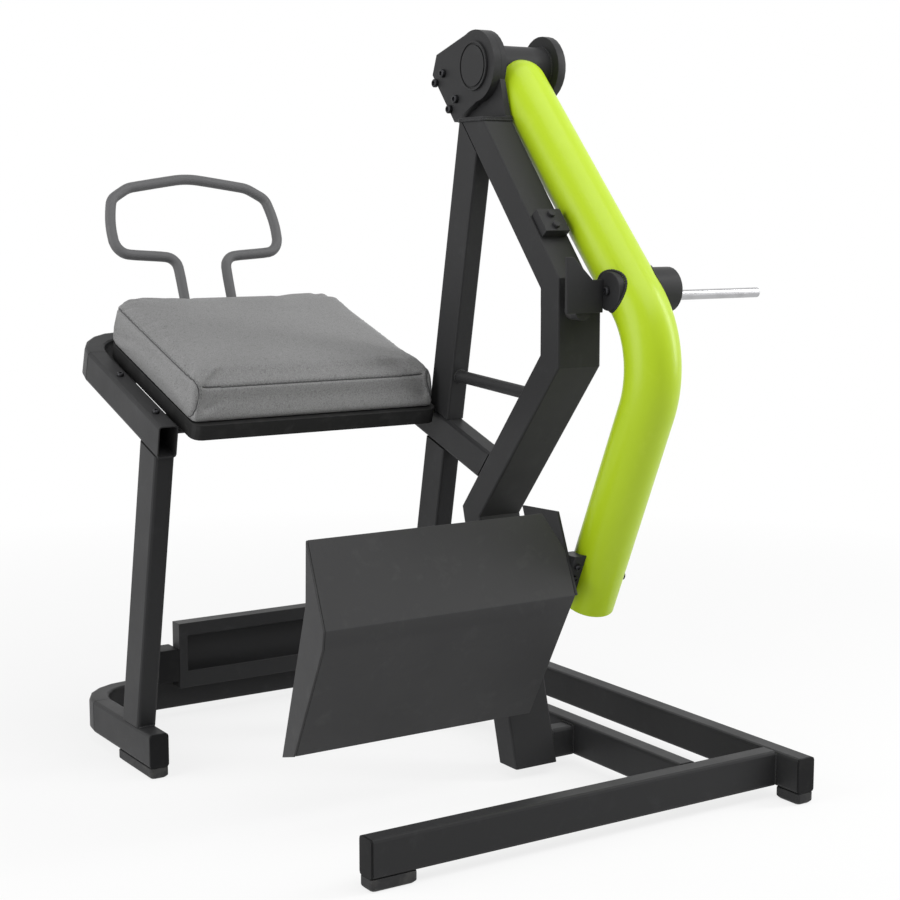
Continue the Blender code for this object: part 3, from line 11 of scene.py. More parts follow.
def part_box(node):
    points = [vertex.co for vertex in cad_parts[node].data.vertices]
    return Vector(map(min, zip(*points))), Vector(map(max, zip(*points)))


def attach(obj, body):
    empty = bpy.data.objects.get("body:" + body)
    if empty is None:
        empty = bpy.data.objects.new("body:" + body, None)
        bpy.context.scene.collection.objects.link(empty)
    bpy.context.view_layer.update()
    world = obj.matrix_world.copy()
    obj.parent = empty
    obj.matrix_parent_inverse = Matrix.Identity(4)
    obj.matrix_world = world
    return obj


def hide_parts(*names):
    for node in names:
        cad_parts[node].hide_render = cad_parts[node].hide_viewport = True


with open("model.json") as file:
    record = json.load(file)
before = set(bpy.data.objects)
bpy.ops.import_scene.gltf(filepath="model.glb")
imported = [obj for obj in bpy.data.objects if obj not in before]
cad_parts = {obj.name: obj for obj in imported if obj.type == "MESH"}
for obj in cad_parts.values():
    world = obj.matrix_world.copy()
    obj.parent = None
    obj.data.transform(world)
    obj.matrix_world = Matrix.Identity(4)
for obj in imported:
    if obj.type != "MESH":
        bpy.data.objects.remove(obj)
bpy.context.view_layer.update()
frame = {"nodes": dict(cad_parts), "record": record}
NODES = frame["nodes"]
SCENE = bpy.context.scene

# camera, fitted to the photograph: metres, degrees and millimetres
CAMERA_PLACE = Vector((-1.844, -2.985, 1.114))
CAMERA_TURN = 32.8
CAMERA_DIP = 7.84
CAMERA_LENS = 71.28
SENSOR_WIDTH = 36.0

# lamps: name, place and size in metres, power in watts
LIGHTS = (
    ("top_softbox", (0.2, -1.2, 3.3), (2.4, 2.4), 46.0),
    ("left_softbox", (-3.4, 0.2, 1.6), (2.6, 3.0), 70.0),
    ("right_strip", (2.4, -1.4, 1.9), (0.6, 2.6), 48.0),
)
LIGHT_TARGET = (0.0, 0.0, 0.7)
WORLD_STRENGTH = 0.38

# stage: nearer than the fade the floor is partly seen in its own colour, so that it keeps the shadow
FLOOR_SIZE = 30.0
FLOOR_WHITE = 0.86
FLOOR_FADE = (1.2, 3.0)
FLOOR_SHARE = (0.80, 1.0)

# cushion
PAD_SLOPE = 0.3344
PAD_RUN = Vector((0, 1, PAD_SLOPE)).normalized()
PAD_UP = Vector((0, -PAD_SLOPE, 1)).normalized()
CUSHION_SHRINK = 0.004
CUSHION_RISE = 1.11
CUSHION_SPREAD = 1.012
CUSHION_VOXEL = 0.006
CUSHION_PRESSURE = 4.0
CUSHION_FRAMES = 20
CUSHION_CAP = 0.009
UNDERSIDE = -0.7
HELD_HEIGHT = CUSHION_VOXEL * 1.5

# seams of the cushion: the rays that find them, the groove and the puckers beside it
SEAM_INSET = 0.030
SEAM_LEAN = 0.62
REAR_LEAN = 0.35
SEAM_RAYS = 60
CORNER_RAYS = 14
CORNER_START = -12
SEAM_WIDTH = 0.004
SEAM_DEPTH = 0.0024
SEAM_SAMPLING = 0.002
PUCKER_HEIGHT = 0.0003
PUCKER_REACH = 0.030
PUCKER_SCALE = 48

# bead and stitches along the seams
SEAM_BEAD = 0.0011
BEAD_STEP = 0.004
STITCH_RADIUS = 0.0006
STITCH_LENGTH = 0.0050
STITCH_STEP = 0.0082
STITCH_OFFSET = 0.0055
STITCH_LIFT = STITCH_RADIUS * 0.4
STITCH_FLAT = 0.6
THREAD_SIDES = 6

# arm tube, in the frame's metres
ARM_RADIUS = 0.0522
ARM_MIDDLE_X = 0.2069
ARM_HEAD = (-0.0591, 1.3434)
ARM_CORNER = (-0.5141, 0.8519)
ARM_FOOT = (-0.2934, 0.3550)
ARM_BEND_RADIUS = 0.187
ARM_BEND_STEPS = 128
ARM_NEAR = 0.0015
ARM_DIVISIONS = 2

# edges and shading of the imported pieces: metres and degrees
MERGE = 0.00005
FLAT_LIMIT = 0.6
TUBE_EDGE = 0.0013
SMALL_EDGE = 0.0006
EDGE_LIMIT = 20
ROUND_LIMIT = 50
SMOOTH_LIMIT = 50
HANDLE_SWELL = 0.0005
ROUND_NODES = (
    "boss_bolt", "frame_bolt", "housing_bolt", "mount_bolt", "through_bolt",
    "housing_cap", "end_disc", "hub_sleeve", "hub_bearing", "left_boss", "right_hub",
    "pivot_shaft", "side_rod", "tie_rod", "stop_bumper",
)

# weld beads
WELD_RADIUS = 0.0030
SMALL_WELD = WELD_RADIUS * 0.8
WELD_RIPPLE = 0.0050
WELD_STEP = 0.00125
WELD_REACH = 0.0008
WELD_RIPPLE_SHARE = 0.14
WELD_UNEVEN_SHARE = 0.12
WELD_UNEVEN_SCALE = 160
WELD_SIDES = 8
RING_RAYS = 96
FRAME_WELDS = (
    ("column_tie_front", "front_column_lower"), ("column_tie_front", "left_rail"),
    ("column_tie_rear", "rear_column"), ("column_tie_rear", "left_rail"),
    ("left_leg", "left_stub"), ("left_leg", "pad_frame_left"),
    ("left_rail", "front_cross_tube"), ("left_rail", "rear_cross_foot"),
    ("rear_cross_foot", "right_rail"),
    ("front_column_upper", "column_cap"), ("rear_column", "column_cap"), ("head_plate", "column_cap"),
    ("tie_rod", "front_column_upper"), ("tie_rod", "rear_column"),
    ("pad_crossbar_1", "pad_frame_left"), ("pad_crossbar_2", "pad_frame_left"),
)
ARM_WELDS = (("hub_sleeve", "end_disc"), ("side_rod", "right_hub"))


# node tree helpers
def add_node(tree, kind, **settings):
    node = tree.nodes.new(kind)
    for key, value in settings.items():
        setattr(node, key, value)
    return node


def link(tree, source, target):
    tree.links.new(source, target)


def new_tree(name):
    """A new material with its node tree and its shader."""
    material = bpy.data.materials.new(name)
    material.use_nodes = True
    tree = material.node_tree
    return material, tree, tree.nodes["Principled BSDF"]


def object_coordinates(tree):
    return add_node(tree, "ShaderNodeTexCoord").outputs["Object"]


def noise_field(tree, coordinates, scale, detail=3.0, roughness=0.5, distortion=0.0):
    node = add_node(tree, "ShaderNodeTexNoise")
    link(tree, coordinates, node.inputs["Vector"])
    node.inputs["Scale"].default_value = scale
    node.inputs["Detail"].default_value = detail
    node.inputs["Roughness"].default_value = roughness
    node.inputs["Distortion"].default_value = distortion
    return node.outputs["Fac"]


def remapped(tree, value, source, target):
    """Maps the value from the source range to the target range, and holds it within that."""
    node = add_node(tree, "ShaderNodeMapRange")
    link(tree, value, node.inputs["Value"])
    node.inputs["From Min"].default_value, node.inputs["From Max"].default_value = source
    node.inputs["To Min"].default_value, node.inputs["To Max"].default_value = target
    return node.outputs["Result"]


def typed_socket(sockets, identifier):
    """A Mix node has one socket of each name for every data type, so it is found by its identifier."""
    return next(socket for socket in sockets if socket.identifier == identifier)


def mixed_colour(tree, factor, first, second):
    node = add_node(tree, "ShaderNodeMix", data_type="RGBA")
    link(tree, factor, node.inputs["Factor"])
    typed_socket(node.inputs, "A_Color").default_value = (*first, 1.0)
    typed_socket(node.inputs, "B_Color").default_value = (*second, 1.0)
    return typed_socket(node.outputs, "Result_Color")


def multiplied(tree, first, second):
    """The product of two values, each a socket or a plain number."""
    node = add_node(tree, "ShaderNodeMath", operation="MULTIPLY")
    for socket, value in zip(node.inputs, (first, second)):
        if isinstance(value, float):
            socket.default_value = value
        else:
            link(tree, value, socket)
    return node.outputs["Value"]


def bumped(tree, height, distance, strength=1.0, normal=None):
    node = add_node(tree, "ShaderNodeBump")
    node.inputs["Distance"].default_value = distance
    node.inputs["Strength"].default_value = strength
    link(tree, height, node.inputs["Height"])
    if normal is not None:
        link(tree, normal, node.inputs["Normal"])
    return node.outputs["Normal"]


# materials
def coated_metal(name, colour, scuffed, roughness, shine, coat=0.0, grain=0.00006):
    """Powder coat: fine orange peel, faint cloudiness, and rubbed patches in a paler tone."""
    material, tree, shader = new_tree(name)
    spots = object_coordinates(tree)
    cloud = noise_field(tree, spots, scale=7.0, detail=5.0, roughness=0.6)
    patches = noise_field(tree, spots, scale=23.0, detail=8.0, roughness=0.65, distortion=0.4)
    rubbed = multiplied(tree, remapped(tree, patches, (0.56, 0.74), (0.0, 1.0)), 0.45)
    link(tree, mixed_colour(tree, rubbed, colour, scuffed), shader.inputs["Base Color"])
    gloss = remapped(tree, cloud, (0.3, 0.7), (roughness - 0.05, roughness + 0.07))
    link(tree, gloss, shader.inputs["Roughness"])
    peel = noise_field(tree, spots, scale=620.0, detail=2.0)
    soft = noise_field(tree, spots, scale=90.0)
    fine = bumped(tree, peel, distance=grain)
    link(tree, bumped(tree, soft, distance=grain * 2, normal=fine), shader.inputs["Normal"])
    shader.inputs["Specular IOR Level"].default_value = shine
    shader.inputs["Coat Weight"].default_value = coat
    shader.inputs["Coat Roughness"].default_value = 0.12
    return material


def moulded(name, colour, worn, roughness, grain_scale, grain, shine):
    """Moulded plastic or rubber: a fine grained skin with dusty, paler patches."""
    material, tree, shader = new_tree(name)
    spots = object_coordinates(tree)
    patches = noise_field(tree, spots, scale=31.0, detail=7.0, roughness=0.6, distortion=0.3)
    dust = remapped(tree, patches, (0.5, 0.75), (0.0, 0.6))
    link(tree, mixed_colour(tree, dust, colour, worn), shader.inputs["Base Color"])
    tone = noise_field(tree, spots, scale=12.0, detail=4.0)
    gloss = remapped(tree, tone, (0.3, 0.7), (roughness - 0.06, roughness + 0.08))
    link(tree, gloss, shader.inputs["Roughness"])
    cells = add_node(tree, "ShaderNodeTexVoronoi", feature="SMOOTH_F1")
    cells.inputs["Scale"].default_value = grain_scale
    link(tree, spots, cells.inputs["Vector"])
    link(tree, bumped(tree, cells.outputs["Distance"], distance=grain), shader.inputs["Normal"])
    shader.inputs["Specular IOR Level"].default_value = shine
    return material


def turned_steel(name, colour, roughness, axis, metallic=1.0):
    """Machined or drawn steel: fine lines that run round or along the given axis, and a slight tarnish."""
    along, across = 2.0, 900.0
    material, tree, shader = new_tree(name)
    spots = object_coordinates(tree)
    stretch = add_node(tree, "ShaderNodeMapping")
    stretch.inputs["Scale"].default_value = tuple(along if letter == axis else across for letter in "XYZ")
    link(tree, spots, stretch.inputs["Vector"])
    lines = noise_field(tree, stretch.outputs["Vector"], scale=1.0, detail=4.0, roughness=0.7)
    patches = noise_field(tree, spots, scale=40.0, detail=6.0, roughness=0.6)
    stain = remapped(tree, patches, (0.45, 0.8), (0.0, 0.5))
    dull = tuple(channel * 0.55 for channel in colour)
    link(tree, mixed_colour(tree, stain, colour, dull), shader.inputs["Base Color"])
    gloss = remapped(tree, lines, (0.25, 0.75), (roughness - 0.07, roughness + 0.09))
    link(tree, gloss, shader.inputs["Roughness"])
    link(tree, bumped(tree, lines, distance=0.00004), shader.inputs["Normal"])
    shader.inputs["Metallic"].default_value = metallic
    return material


def warped_coordinates(tree, spots):
    """Coordinates drawn slightly out of place, so that a cell pattern has no straight rows."""
    warp = add_node(tree, "ShaderNodeTexNoise")
    warp.inputs["Scale"].default_value = 60.0
    link(tree, spots, warp.inputs["Vector"])
    shifted = add_node(tree, "ShaderNodeMix", data_type="VECTOR")
    shifted.inputs["Factor"].default_value = 0.03
    link(tree, spots, typed_socket(shifted.inputs, "A_Vector"))
    link(tree, warp.outputs["Color"], typed_socket(shifted.inputs, "B_Vector"))
    return typed_socket(shifted.outputs, "Result_Vector")


def grained_vinyl(name, colour, painted_crease_shade, roughness):
    """Upholstery vinyl: leather-like pebbles, finer creases between them that are painted darker as painted
    shade, and a soft sheen.
    """
    material, tree, shader = new_tree(name)
    spots = object_coordinates(tree)
    pebbles = add_node(tree, "ShaderNodeTexVoronoi", feature="SMOOTH_F1")
    pebbles.inputs["Scale"].default_value = 520.0
    pebbles.inputs["Smoothness"].default_value = 0.6
    link(tree, warped_coordinates(tree, spots), pebbles.inputs["Vector"])
    # painted shade: the colour is mixed towards a darker grey in the creases between the pebbles
    creases = remapped(tree, pebbles.outputs["Distance"], (0.3, 0.75), (0.0, 1.0))
    shade = multiplied(tree, creases, 0.55)
    link(tree, mixed_colour(tree, shade, colour, painted_crease_shade), shader.inputs["Base Color"])
    tone = noise_field(tree, spots, scale=9.0, detail=5.0, roughness=0.6)
    gloss = remapped(tree, tone, (0.3, 0.7), (roughness - 0.05, roughness + 0.06))
    link(tree, gloss, shader.inputs["Roughness"])
    ripples = noise_field(tree, spots, scale=26.0, detail=4.0, roughness=0.55)
    fine = bumped(tree, creases, distance=0.00018, strength=0.8)
    link(tree, bumped(tree, ripples, distance=0.0006, strength=0.5, normal=fine), shader.inputs["Normal"])
    for key, number in (
        ("Specular IOR Level", 0.24), ("Sheen Weight", 0.08), ("Sheen Roughness", 0.4),
        ("Coat Weight", 0.04), ("Coat Roughness", 0.35),
    ):
        shader.inputs[key].default_value = number
    return material


def thread(name, colour):
    """Sewing thread: a fine twist in a paler and a darker tone."""
    material, tree, shader = new_tree(name)
    twist = noise_field(tree, object_coordinates(tree), scale=1400.0, detail=2.0)
    darker = tuple(channel * 0.5 for channel in colour)
    link(tree, mixed_colour(tree, twist, colour, darker), shader.inputs["Base Color"])
    link(tree, bumped(tree, twist, distance=0.0002), shader.inputs["Normal"])
    shader.inputs["Roughness"].default_value = 0.7
    return material


def grey(level):
    return (level, level, level)


MATERIALS = {
    "frame_paint": coated_metal(
        "frame_paint", (0.0280, 0.0281, 0.0290), (0.042, 0.043, 0.045), roughness=0.44, shine=0.12),
    "handle_paint": coated_metal(
        "handle_paint", (0.112, 0.112, 0.115), grey(0.15), roughness=0.46, shine=0.20),
    "arm_paint": coated_metal(
        "arm_paint", (0.430, 0.600, 0.010), (0.48, 0.64, 0.03), roughness=0.36, shine=0.32, coat=0.05,
        grain=0.00004),
    "plate_paint": coated_metal(
        "plate_paint", (0.047, 0.047, 0.048), grey(0.07), roughness=0.54, shine=0.16, grain=0.00012),
    "cap_plastic": moulded(
        "cap_plastic", (0.004, 0.004, 0.0045), grey(0.014), roughness=0.55, grain_scale=900.0,
        grain=0.00005, shine=0.16),
    "rubber": moulded(
        "rubber", (0.016, 0.016, 0.017), (0.07, 0.068, 0.064), roughness=0.72, grain_scale=500.0,
        grain=0.00012, shine=0.4),
    "pad_vinyl": grained_vinyl("pad_vinyl", grey(0.232), grey(0.085), roughness=0.50),
    "pad_board": moulded(
        "pad_board", grey(0.010), grey(0.03), roughness=0.62, grain_scale=300.0, grain=0.0001, shine=0.25),
    "bright_steel": turned_steel("bright_steel", (0.44, 0.44, 0.45), roughness=0.30, axis="X"),
    "dark_steel": turned_steel("dark_steel", (0.030, 0.030, 0.033), roughness=0.40, axis="Z", metallic=0.8),
    "piping_vinyl": grained_vinyl("piping_vinyl", (0.060, 0.060, 0.062), grey(0.03), roughness=0.42),
    "pad_thread": thread("pad_thread", grey(0.16)),
}


# finish of the CAD nodes
def geometry_group(name):
    """A geometry node group, with the socket that gives its mesh and the one that takes the result."""
    group = bpy.data.node_groups.new(name, "GeometryNodeTree")
    for way in ("INPUT", "OUTPUT"):
        group.interface.new_socket("Geometry", in_out=way, socket_type="NodeSocketGeometry")
    start = add_node(group, "NodeGroupInput")
    end = add_node(group, "NodeGroupOutput")
    return group, start.outputs[0], end.inputs[0]


def angle_shading():
    """A node group that shades faces smooth and keeps the edges above its limit sharp."""
    group, start, end = geometry_group("angle_shading")
    faces = add_node(group, "GeometryNodeSetShadeSmooth")
    edges = add_node(group, "GeometryNodeSetShadeSmooth", domain="EDGE")
    angle = add_node(group, "GeometryNodeInputMeshEdgeAngle")
    compare = add_node(group, "FunctionNodeCompare", operation="LESS_EQUAL")
    compare.inputs["B"].default_value = radians(SMOOTH_LIMIT)
    link(group, start, faces.inputs["Geometry"])
    link(group, faces.outputs[0], edges.inputs["Geometry"])
    link(group, angle.outputs["Unsigned Angle"], compare.inputs["A"])
    link(group, compare.outputs["Result"], edges.inputs["Shade Smooth"])
    link(group, edges.outputs[0], end)
    return group


SHADING = angle_shading()


def joined_surface(piece):
    """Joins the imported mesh's separate triangles again, so that edges can be softened."""
    weld = piece.modifiers.new("joined", "WELD")
    weld.merge_threshold = MERGE
    flat = piece.modifiers.new("flat_faces", "DECIMATE")
    flat.decimate_type = "DISSOLVE"
    flat.angle_limit = radians(FLAT_LIMIT)


def softened(piece, width, limit):
    """Rounds the edges that turn by more than the limit."""
    bevel = piece.modifiers.new("edges", "BEVEL")
    bevel.width = width
    bevel.segments = 2
    bevel.limit_method = "ANGLE"
    bevel.angle_limit = radians(limit)
    bevel.miter_outer = "MITER_ARC"


def shaded(piece):
    shading = piece.modifiers.new("shading", "NODES")
    shading.node_group = SHADING
    weighted = piece.modifiers.new("weighted", "WEIGHTED_NORMAL")
    weighted.keep_sharp = True
    weighted.weight = 90


def rounded_handle(piece):
    """Makes the faceted bent bar round, and gives back what the smoothing takes off its radius."""
    smooth = piece.modifiers.new("round", "SUBSURF")
    smooth.levels = smooth.render_levels = 1
    grown = piece.modifiers.new("grown", "DISPLACE")
    grown.mid_level = 0.0
    grown.strength = HANDLE_SWELL


def arm_middle_line():
    """The two ends of the arm's middle line, and the start, middle and end of its bend between them."""
    head, corner, foot = (Vector((ARM_MIDDLE_X, *spot)) for spot in (ARM_HEAD, ARM_CORNER, ARM_FOOT))
    upper = (head - corner).normalized()
    lower = (foot - corner).normalized()
    half_turn = upper.angle(lower) / 2
    reach = ARM_BEND_RADIUS / tan(half_turn)
    inward = (upper + lower).normalized()
    crown = corner + inward * (ARM_BEND_RADIUS / sin(half_turn) - ARM_BEND_RADIUS)
    return head, corner + upper * reach, crown, corner + lower * reach, foot


def nearest_on_arm_line(group):
    """A node that gives each point's nearest place on the arm's middle line, and the distance to it."""
    head, bend_start, crown, bend_end, foot = arm_middle_line()
    joined = add_node(group, "GeometryNodeJoinGeometry")
    for first, last in ((head, bend_start), (bend_end, foot)):
        line = add_node(group, "GeometryNodeCurvePrimitiveLine")
        line.inputs["Start"].default_value = first
        line.inputs["End"].default_value = last
        link(group, line.outputs["Curve"], joined.inputs["Geometry"])
    bend = add_node(group, "GeometryNodeCurveArc", mode="POINTS")
    bend.inputs["Resolution"].default_value = ARM_BEND_STEPS
    for key, spot in (("Start", bend_start), ("Middle", crown), ("End", bend_end)):
        bend.inputs[key].default_value = spot
    link(group, bend.outputs["Curve"], joined.inputs["Geometry"])
    wire = add_node(group, "GeometryNodeCurveToMesh")
    link(group, joined.outputs["Geometry"], wire.inputs["Curve"])
    nearest = add_node(group, "GeometryNodeProximity", target_element="EDGES")
    link(group, wire.outputs["Mesh"], nearest.inputs[0])
    return nearest


def arm_rounding():
    """A node group that sets the points of the arm's outer skin at its true radius from its middle line."""
    group, start, end = geometry_group("arm_rounding")
    nearest = nearest_on_arm_line(group)
    place = add_node(group, "GeometryNodeInputPosition")
    out = add_node(group, "ShaderNodeVectorMath", operation="SUBTRACT")
    unit = add_node(group, "ShaderNodeVectorMath", operation="NORMALIZE")
    skin = add_node(group, "ShaderNodeVectorMath", operation="MULTIPLY_ADD")
    skin.inputs[1].default_value = (ARM_RADIUS, ARM_RADIUS, ARM_RADIUS)
    link(group, place.outputs["Position"], out.inputs[0])
    link(group, nearest.outputs["Position"], out.inputs[1])
    link(group, out.outputs["Vector"], unit.inputs[0])
    link(group, unit.outputs["Vector"], skin.inputs[0])
    link(group, nearest.outputs["Position"], skin.inputs[2])
    near = add_node(group, "FunctionNodeCompare", operation="EQUAL")
    near.inputs["B"].default_value = ARM_RADIUS
    near.inputs["Epsilon"].default_value = ARM_NEAR
    link(group, nearest.outputs["Distance"], near.inputs["A"])
    move = add_node(group, "GeometryNodeSetPosition")
    link(group, start, move.inputs["Geometry"])
    link(group, near.outputs["Result"], move.inputs["Selection"])
    link(group, skin.outputs["Vector"], move.inputs["Position"])
    link(group, move.outputs["Geometry"], end)
    return group


def rounded_arm(piece):
    """Divides the arm's flat faces and lays the new points on the true tube."""
    divided = piece.modifiers.new("divided", "SUBSURF")
    divided.subdivision_type = "SIMPLE"
    divided.levels = divided.render_levels = ARM_DIVISIONS
    skin = piece.modifiers.new("skin", "NODES")
    skin.node_group = arm_rounding()


def finish_nodes():
    """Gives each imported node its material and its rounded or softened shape."""
    slots = {entry["node"]: entry["material_slot"] for entry in frame["record"]["subparts"]}
    for name, piece in NODES.items():
        piece.data.materials.clear()
        piece.data.materials.append(MATERIALS[slots[name]])
        piece.data.polygons.foreach_set("material_index", [0] * len(piece.data.polygons))
        joined_surface(piece)
        if name == "arm":
            rounded_arm(piece)
        elif name == "handle":
            rounded_handle(piece)
        elif name.startswith(ROUND_NODES):
            softened(piece, SMALL_EDGE, ROUND_LIMIT)
        else:
            softened(piece, TUBE_EDGE, EDGE_LIMIT)
        shaded(piece)


# meshes of new pieces
def evaluated_mesh(piece):
    depsgraph = bpy.context.evaluated_depsgraph_get()
    return bpy.data.meshes.new_from_object(piece.evaluated_get(depsgraph), depsgraph=depsgraph)


def applied(piece):
    """Bakes a piece's modifiers into its mesh."""
    mesh = evaluated_mesh(piece)
    piece.modifiers.clear()
    piece.data = mesh


def tube_rings(points, radii, sides, closed):
    """Rings of corners round a path, each turned as little as possible from the one before."""
    rings = []
    count = len(points)
    side = None
    for index, point in enumerate(points):
        if closed:
            run = points[(index + 1) % count] - points[index - 1]
        else:
            run = points[min(index + 1, count - 1)] - points[max(index - 1, 0)]
        run.normalize()
        if side is None:
            side = run.orthogonal()
        side = (side - run * side.dot(run)).normalized()
        up = run.cross(side)
        ring = []
        for step in range(sides):
            angle = 2 * pi * step / sides
            ring.append(point + (side * cos(angle) + up * sin(angle)) * radii[index])
        rings.append(ring)
    return rings


def add_tube(work, points, radii, sides, closed=False):
    """Adds a tube round the points to a bmesh; an open one gets end caps."""
    rings = [[work.verts.new(corner) for corner in ring] for ring in tube_rings(points, radii, sides, closed)]
    pairs = list(zip(rings, rings[1:]))
    if closed:
        pairs.append((rings[-1], rings[0]))
    for ring, following in pairs:
        for step in range(sides):
            ahead = (step + 1) % sides
            work.faces.new((ring[step], ring[ahead], following[ahead], following[step]))
    if not closed:
        work.faces.new(rings[0][::-1])
        work.faces.new(rings[-1])


def new_piece(name, work, material, body):
    """Turns a bmesh into a smooth piece with its faces outwards, which rides on the body."""
    bmesh.ops.recalc_face_normals(work, faces=work.faces)
    mesh = bpy.data.meshes.new(name)
    work.to_mesh(mesh)
    work.free()
    mesh.shade_smooth()
    mesh.materials.append(MATERIALS[material])
    piece = bpy.data.objects.new(name, mesh)
    SCENE.collection.objects.link(piece)
    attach(piece, body)


def evenly_spaced(points, step, closed=False):
    """Walks along a path and returns points that lie about a step apart."""
    path = list(points) + ([points[0]] if closed else [])
    lengths = [(after - before).length for before, after in zip(path, path[1:])]
    total = sum(lengths)
    count = max(int(total / step), 2)
    spots = []
    index = 0
    passed = 0.0
    for number in range(count if closed else count + 1):
        target = total * number / count
        while index < len(lengths) - 1 and passed + lengths[index] < target:
            passed += lengths[index]
            index += 1
        share = (target - passed) / lengths[index] if lengths[index] else 0.0
        spots.append(path[index].lerp(path[index + 1], min(share, 1.0)))
    return spots


# pad cushion
def cushion_start():
    """The CAD cushion, joined, shrunk a little except at its underside, and remeshed evenly."""
    work = bmesh.new()
    work.from_mesh(NODES["pad_cushion"].data)
    bmesh.ops.remove_doubles(work, verts=work.verts, dist=MERGE)
    bmesh.ops.recalc_face_normals(work, faces=work.faces)
    work.normal_update()
    moves = [vertex.normal * CUSHION_SHRINK for vertex in work.verts]
    for vertex, move in zip(work.verts, moves):
        if vertex.normal.dot(PAD_UP) > UNDERSIDE:
            vertex.co -= move
    mesh = bpy.data.meshes.new("cushion")
    work.to_mesh(mesh)
    work.free()
    cushion = bpy.data.objects.new("cushion", mesh)
    SCENE.collection.objects.link(cushion)
    remesh = cushion.modifiers.new("even", "REMESH")
    remesh.mode = "VOXEL"
    remesh.voxel_size = CUSHION_VOXEL
    applied(cushion)
    return cushion


def lowest_level(mesh):
    return min(vertex.co.dot(PAD_UP) for vertex in mesh.vertices)


def add_cloth(cushion, group_name):
    """Sets up a cover that air pressure blows up, held where it rests on its board."""
    cloth = cushion.modifiers.new("cloth", "CLOTH")
    settings = cloth.settings
    settings.quality = 5
    settings.mass = 0.3
    settings.tension_stiffness = settings.compression_stiffness = 12
    settings.shear_stiffness = 6
    settings.bending_stiffness = 2.5
    settings.use_pressure = True
    settings.uniform_pressure_force = CUSHION_PRESSURE
    settings.vertex_group_mass = group_name
    settings.effector_weights.gravity = 0.0
    cloth.collision_settings.use_self_collision = False
    cloth.point_cache.frame_start = 1
    cloth.point_cache.frame_end = CUSHION_FRAMES


def swollen(cushion):
    """Blows the cover up with a short cloth simulation and keeps each point within the cap."""
    start = [vertex.co.copy() for vertex in cushion.data.vertices]
    floor = lowest_level(cushion.data)
    held = cushion.vertex_groups.new(name="held")
    resting = [index for index, place in enumerate(start) if place.dot(PAD_UP) < floor + HELD_HEIGHT]
    held.add(resting, 1.0, "REPLACE")
    add_cloth(cushion, held.name)
    for number in range(1, CUSHION_FRAMES + 1):
        SCENE.frame_set(number)
    moved = evaluated_mesh(cushion)
    cushion.modifiers.clear()
    for vertex, after, before in zip(cushion.data.vertices, moved.vertices, start):
        move = after.co - before
        if move.length > CUSHION_CAP:
            move *= CUSHION_CAP / move.length
        vertex.co = before + move
    bpy.data.meshes.remove(moved)
    cushion.vertex_groups.clear()
    SCENE.frame_set(1)


def plumped(cushion):
    """Draws the cushion up from its board and out to the left, as full as the photographed one."""
    floor = lowest_level(cushion.data)
    right = max(vertex.co.x for vertex in cushion.data.vertices)
    for vertex in cushion.data.vertices:
        vertex.co += PAD_UP * (vertex.co.dot(PAD_UP) - floor) * (CUSHION_RISE - 1)
        vertex.co.x = right + (vertex.co.x - right) * CUSHION_SPREAD


def cushion_frame(mesh):
    """The cushion's middle, and its half sizes along x and along its run."""
    middle_point = Vector()
    halves = []
    for axis in (Vector((1, 0, 0)), PAD_RUN, PAD_UP):
        spread = [vertex.co.dot(axis) for vertex in mesh.vertices]
        middle_point += axis * (max(spread) + min(spread)) / 2
        halves.append((max(spread) - min(spread)) / 2)
    return middle_point, halves[0], halves[1]


def ridge(cushion, rays):
    """Where rays from inside the cushion leave its cover."""
    spots = []
    for origin, way in rays:
        hit, place = cushion.ray_cast(origin, way.normalized())[:2]
        if hit:
            spots.append(place)
    return spots


def side_seam_rays(middle_point, half_width, half_run, side):
    """Rays to the ridge between a side panel and the panel that wraps over the top."""
    across = Vector((side, 0, 0))
    edge = middle_point + across * (half_width - SEAM_INSET)
    across *= SEAM_LEAN
    rear = edge - PAD_RUN * (half_run - SEAM_INSET)
    front = edge + PAD_RUN * (half_run - SEAM_INSET)
    turns = [step / CORNER_RAYS * pi / 2 for step in range(CORNER_START, CORNER_RAYS)]
    rays = [(rear, across - PAD_RUN * cos(turn) + PAD_UP * sin(turn)) for turn in turns]
    for step in range(SEAM_RAYS):
        rays.append((rear.lerp(front, step / (SEAM_RAYS - 1)), across + PAD_UP))
    for turn in reversed(turns):
        rays.append((front, across + PAD_RUN * cos(turn) + PAD_UP * sin(turn)))
    return rays


def rear_seam_rays(middle_point, half_width, half_run):
    """Rays to the sewn edge across the pad where its top turns down at the rear."""
    start = middle_point - PAD_RUN * (half_run - SEAM_INSET)
    reach = half_width - SEAM_INSET
    for step in range(SEAM_RAYS):
        across = Vector((reach * (2 * step / (SEAM_RAYS - 1) - 1), 0, 0))
        yield start + across, PAD_UP - PAD_RUN * REAR_LEAN


def seams_drawn_in(cushion, paths):
    """Pulls the cover in along its seams and puckers it beside them."""
    spots = [spot for path in paths for spot in evenly_spaced(path, SEAM_SAMPLING)]
    tree = kdtree.KDTree(len(spots))
    for index, spot in enumerate(spots):
        tree.insert(spot, index)
    tree.balance()
    normals = [vertex.normal.copy() for vertex in cushion.data.vertices]
    for vertex, normal in zip(cushion.data.vertices, normals):
        distance = tree.find(vertex.co)[2]
        if distance > PUCKER_REACH:
            continue
        groove = SEAM_DEPTH * max(0.0, 1 - (distance / SEAM_WIDTH) ** 2)
        fade = (1 - distance / PUCKER_REACH) ** 2
        pucker = PUCKER_HEIGHT * fade * noise.noise(vertex.co * PUCKER_SCALE)
        vertex.co += normal * (pucker - groove)


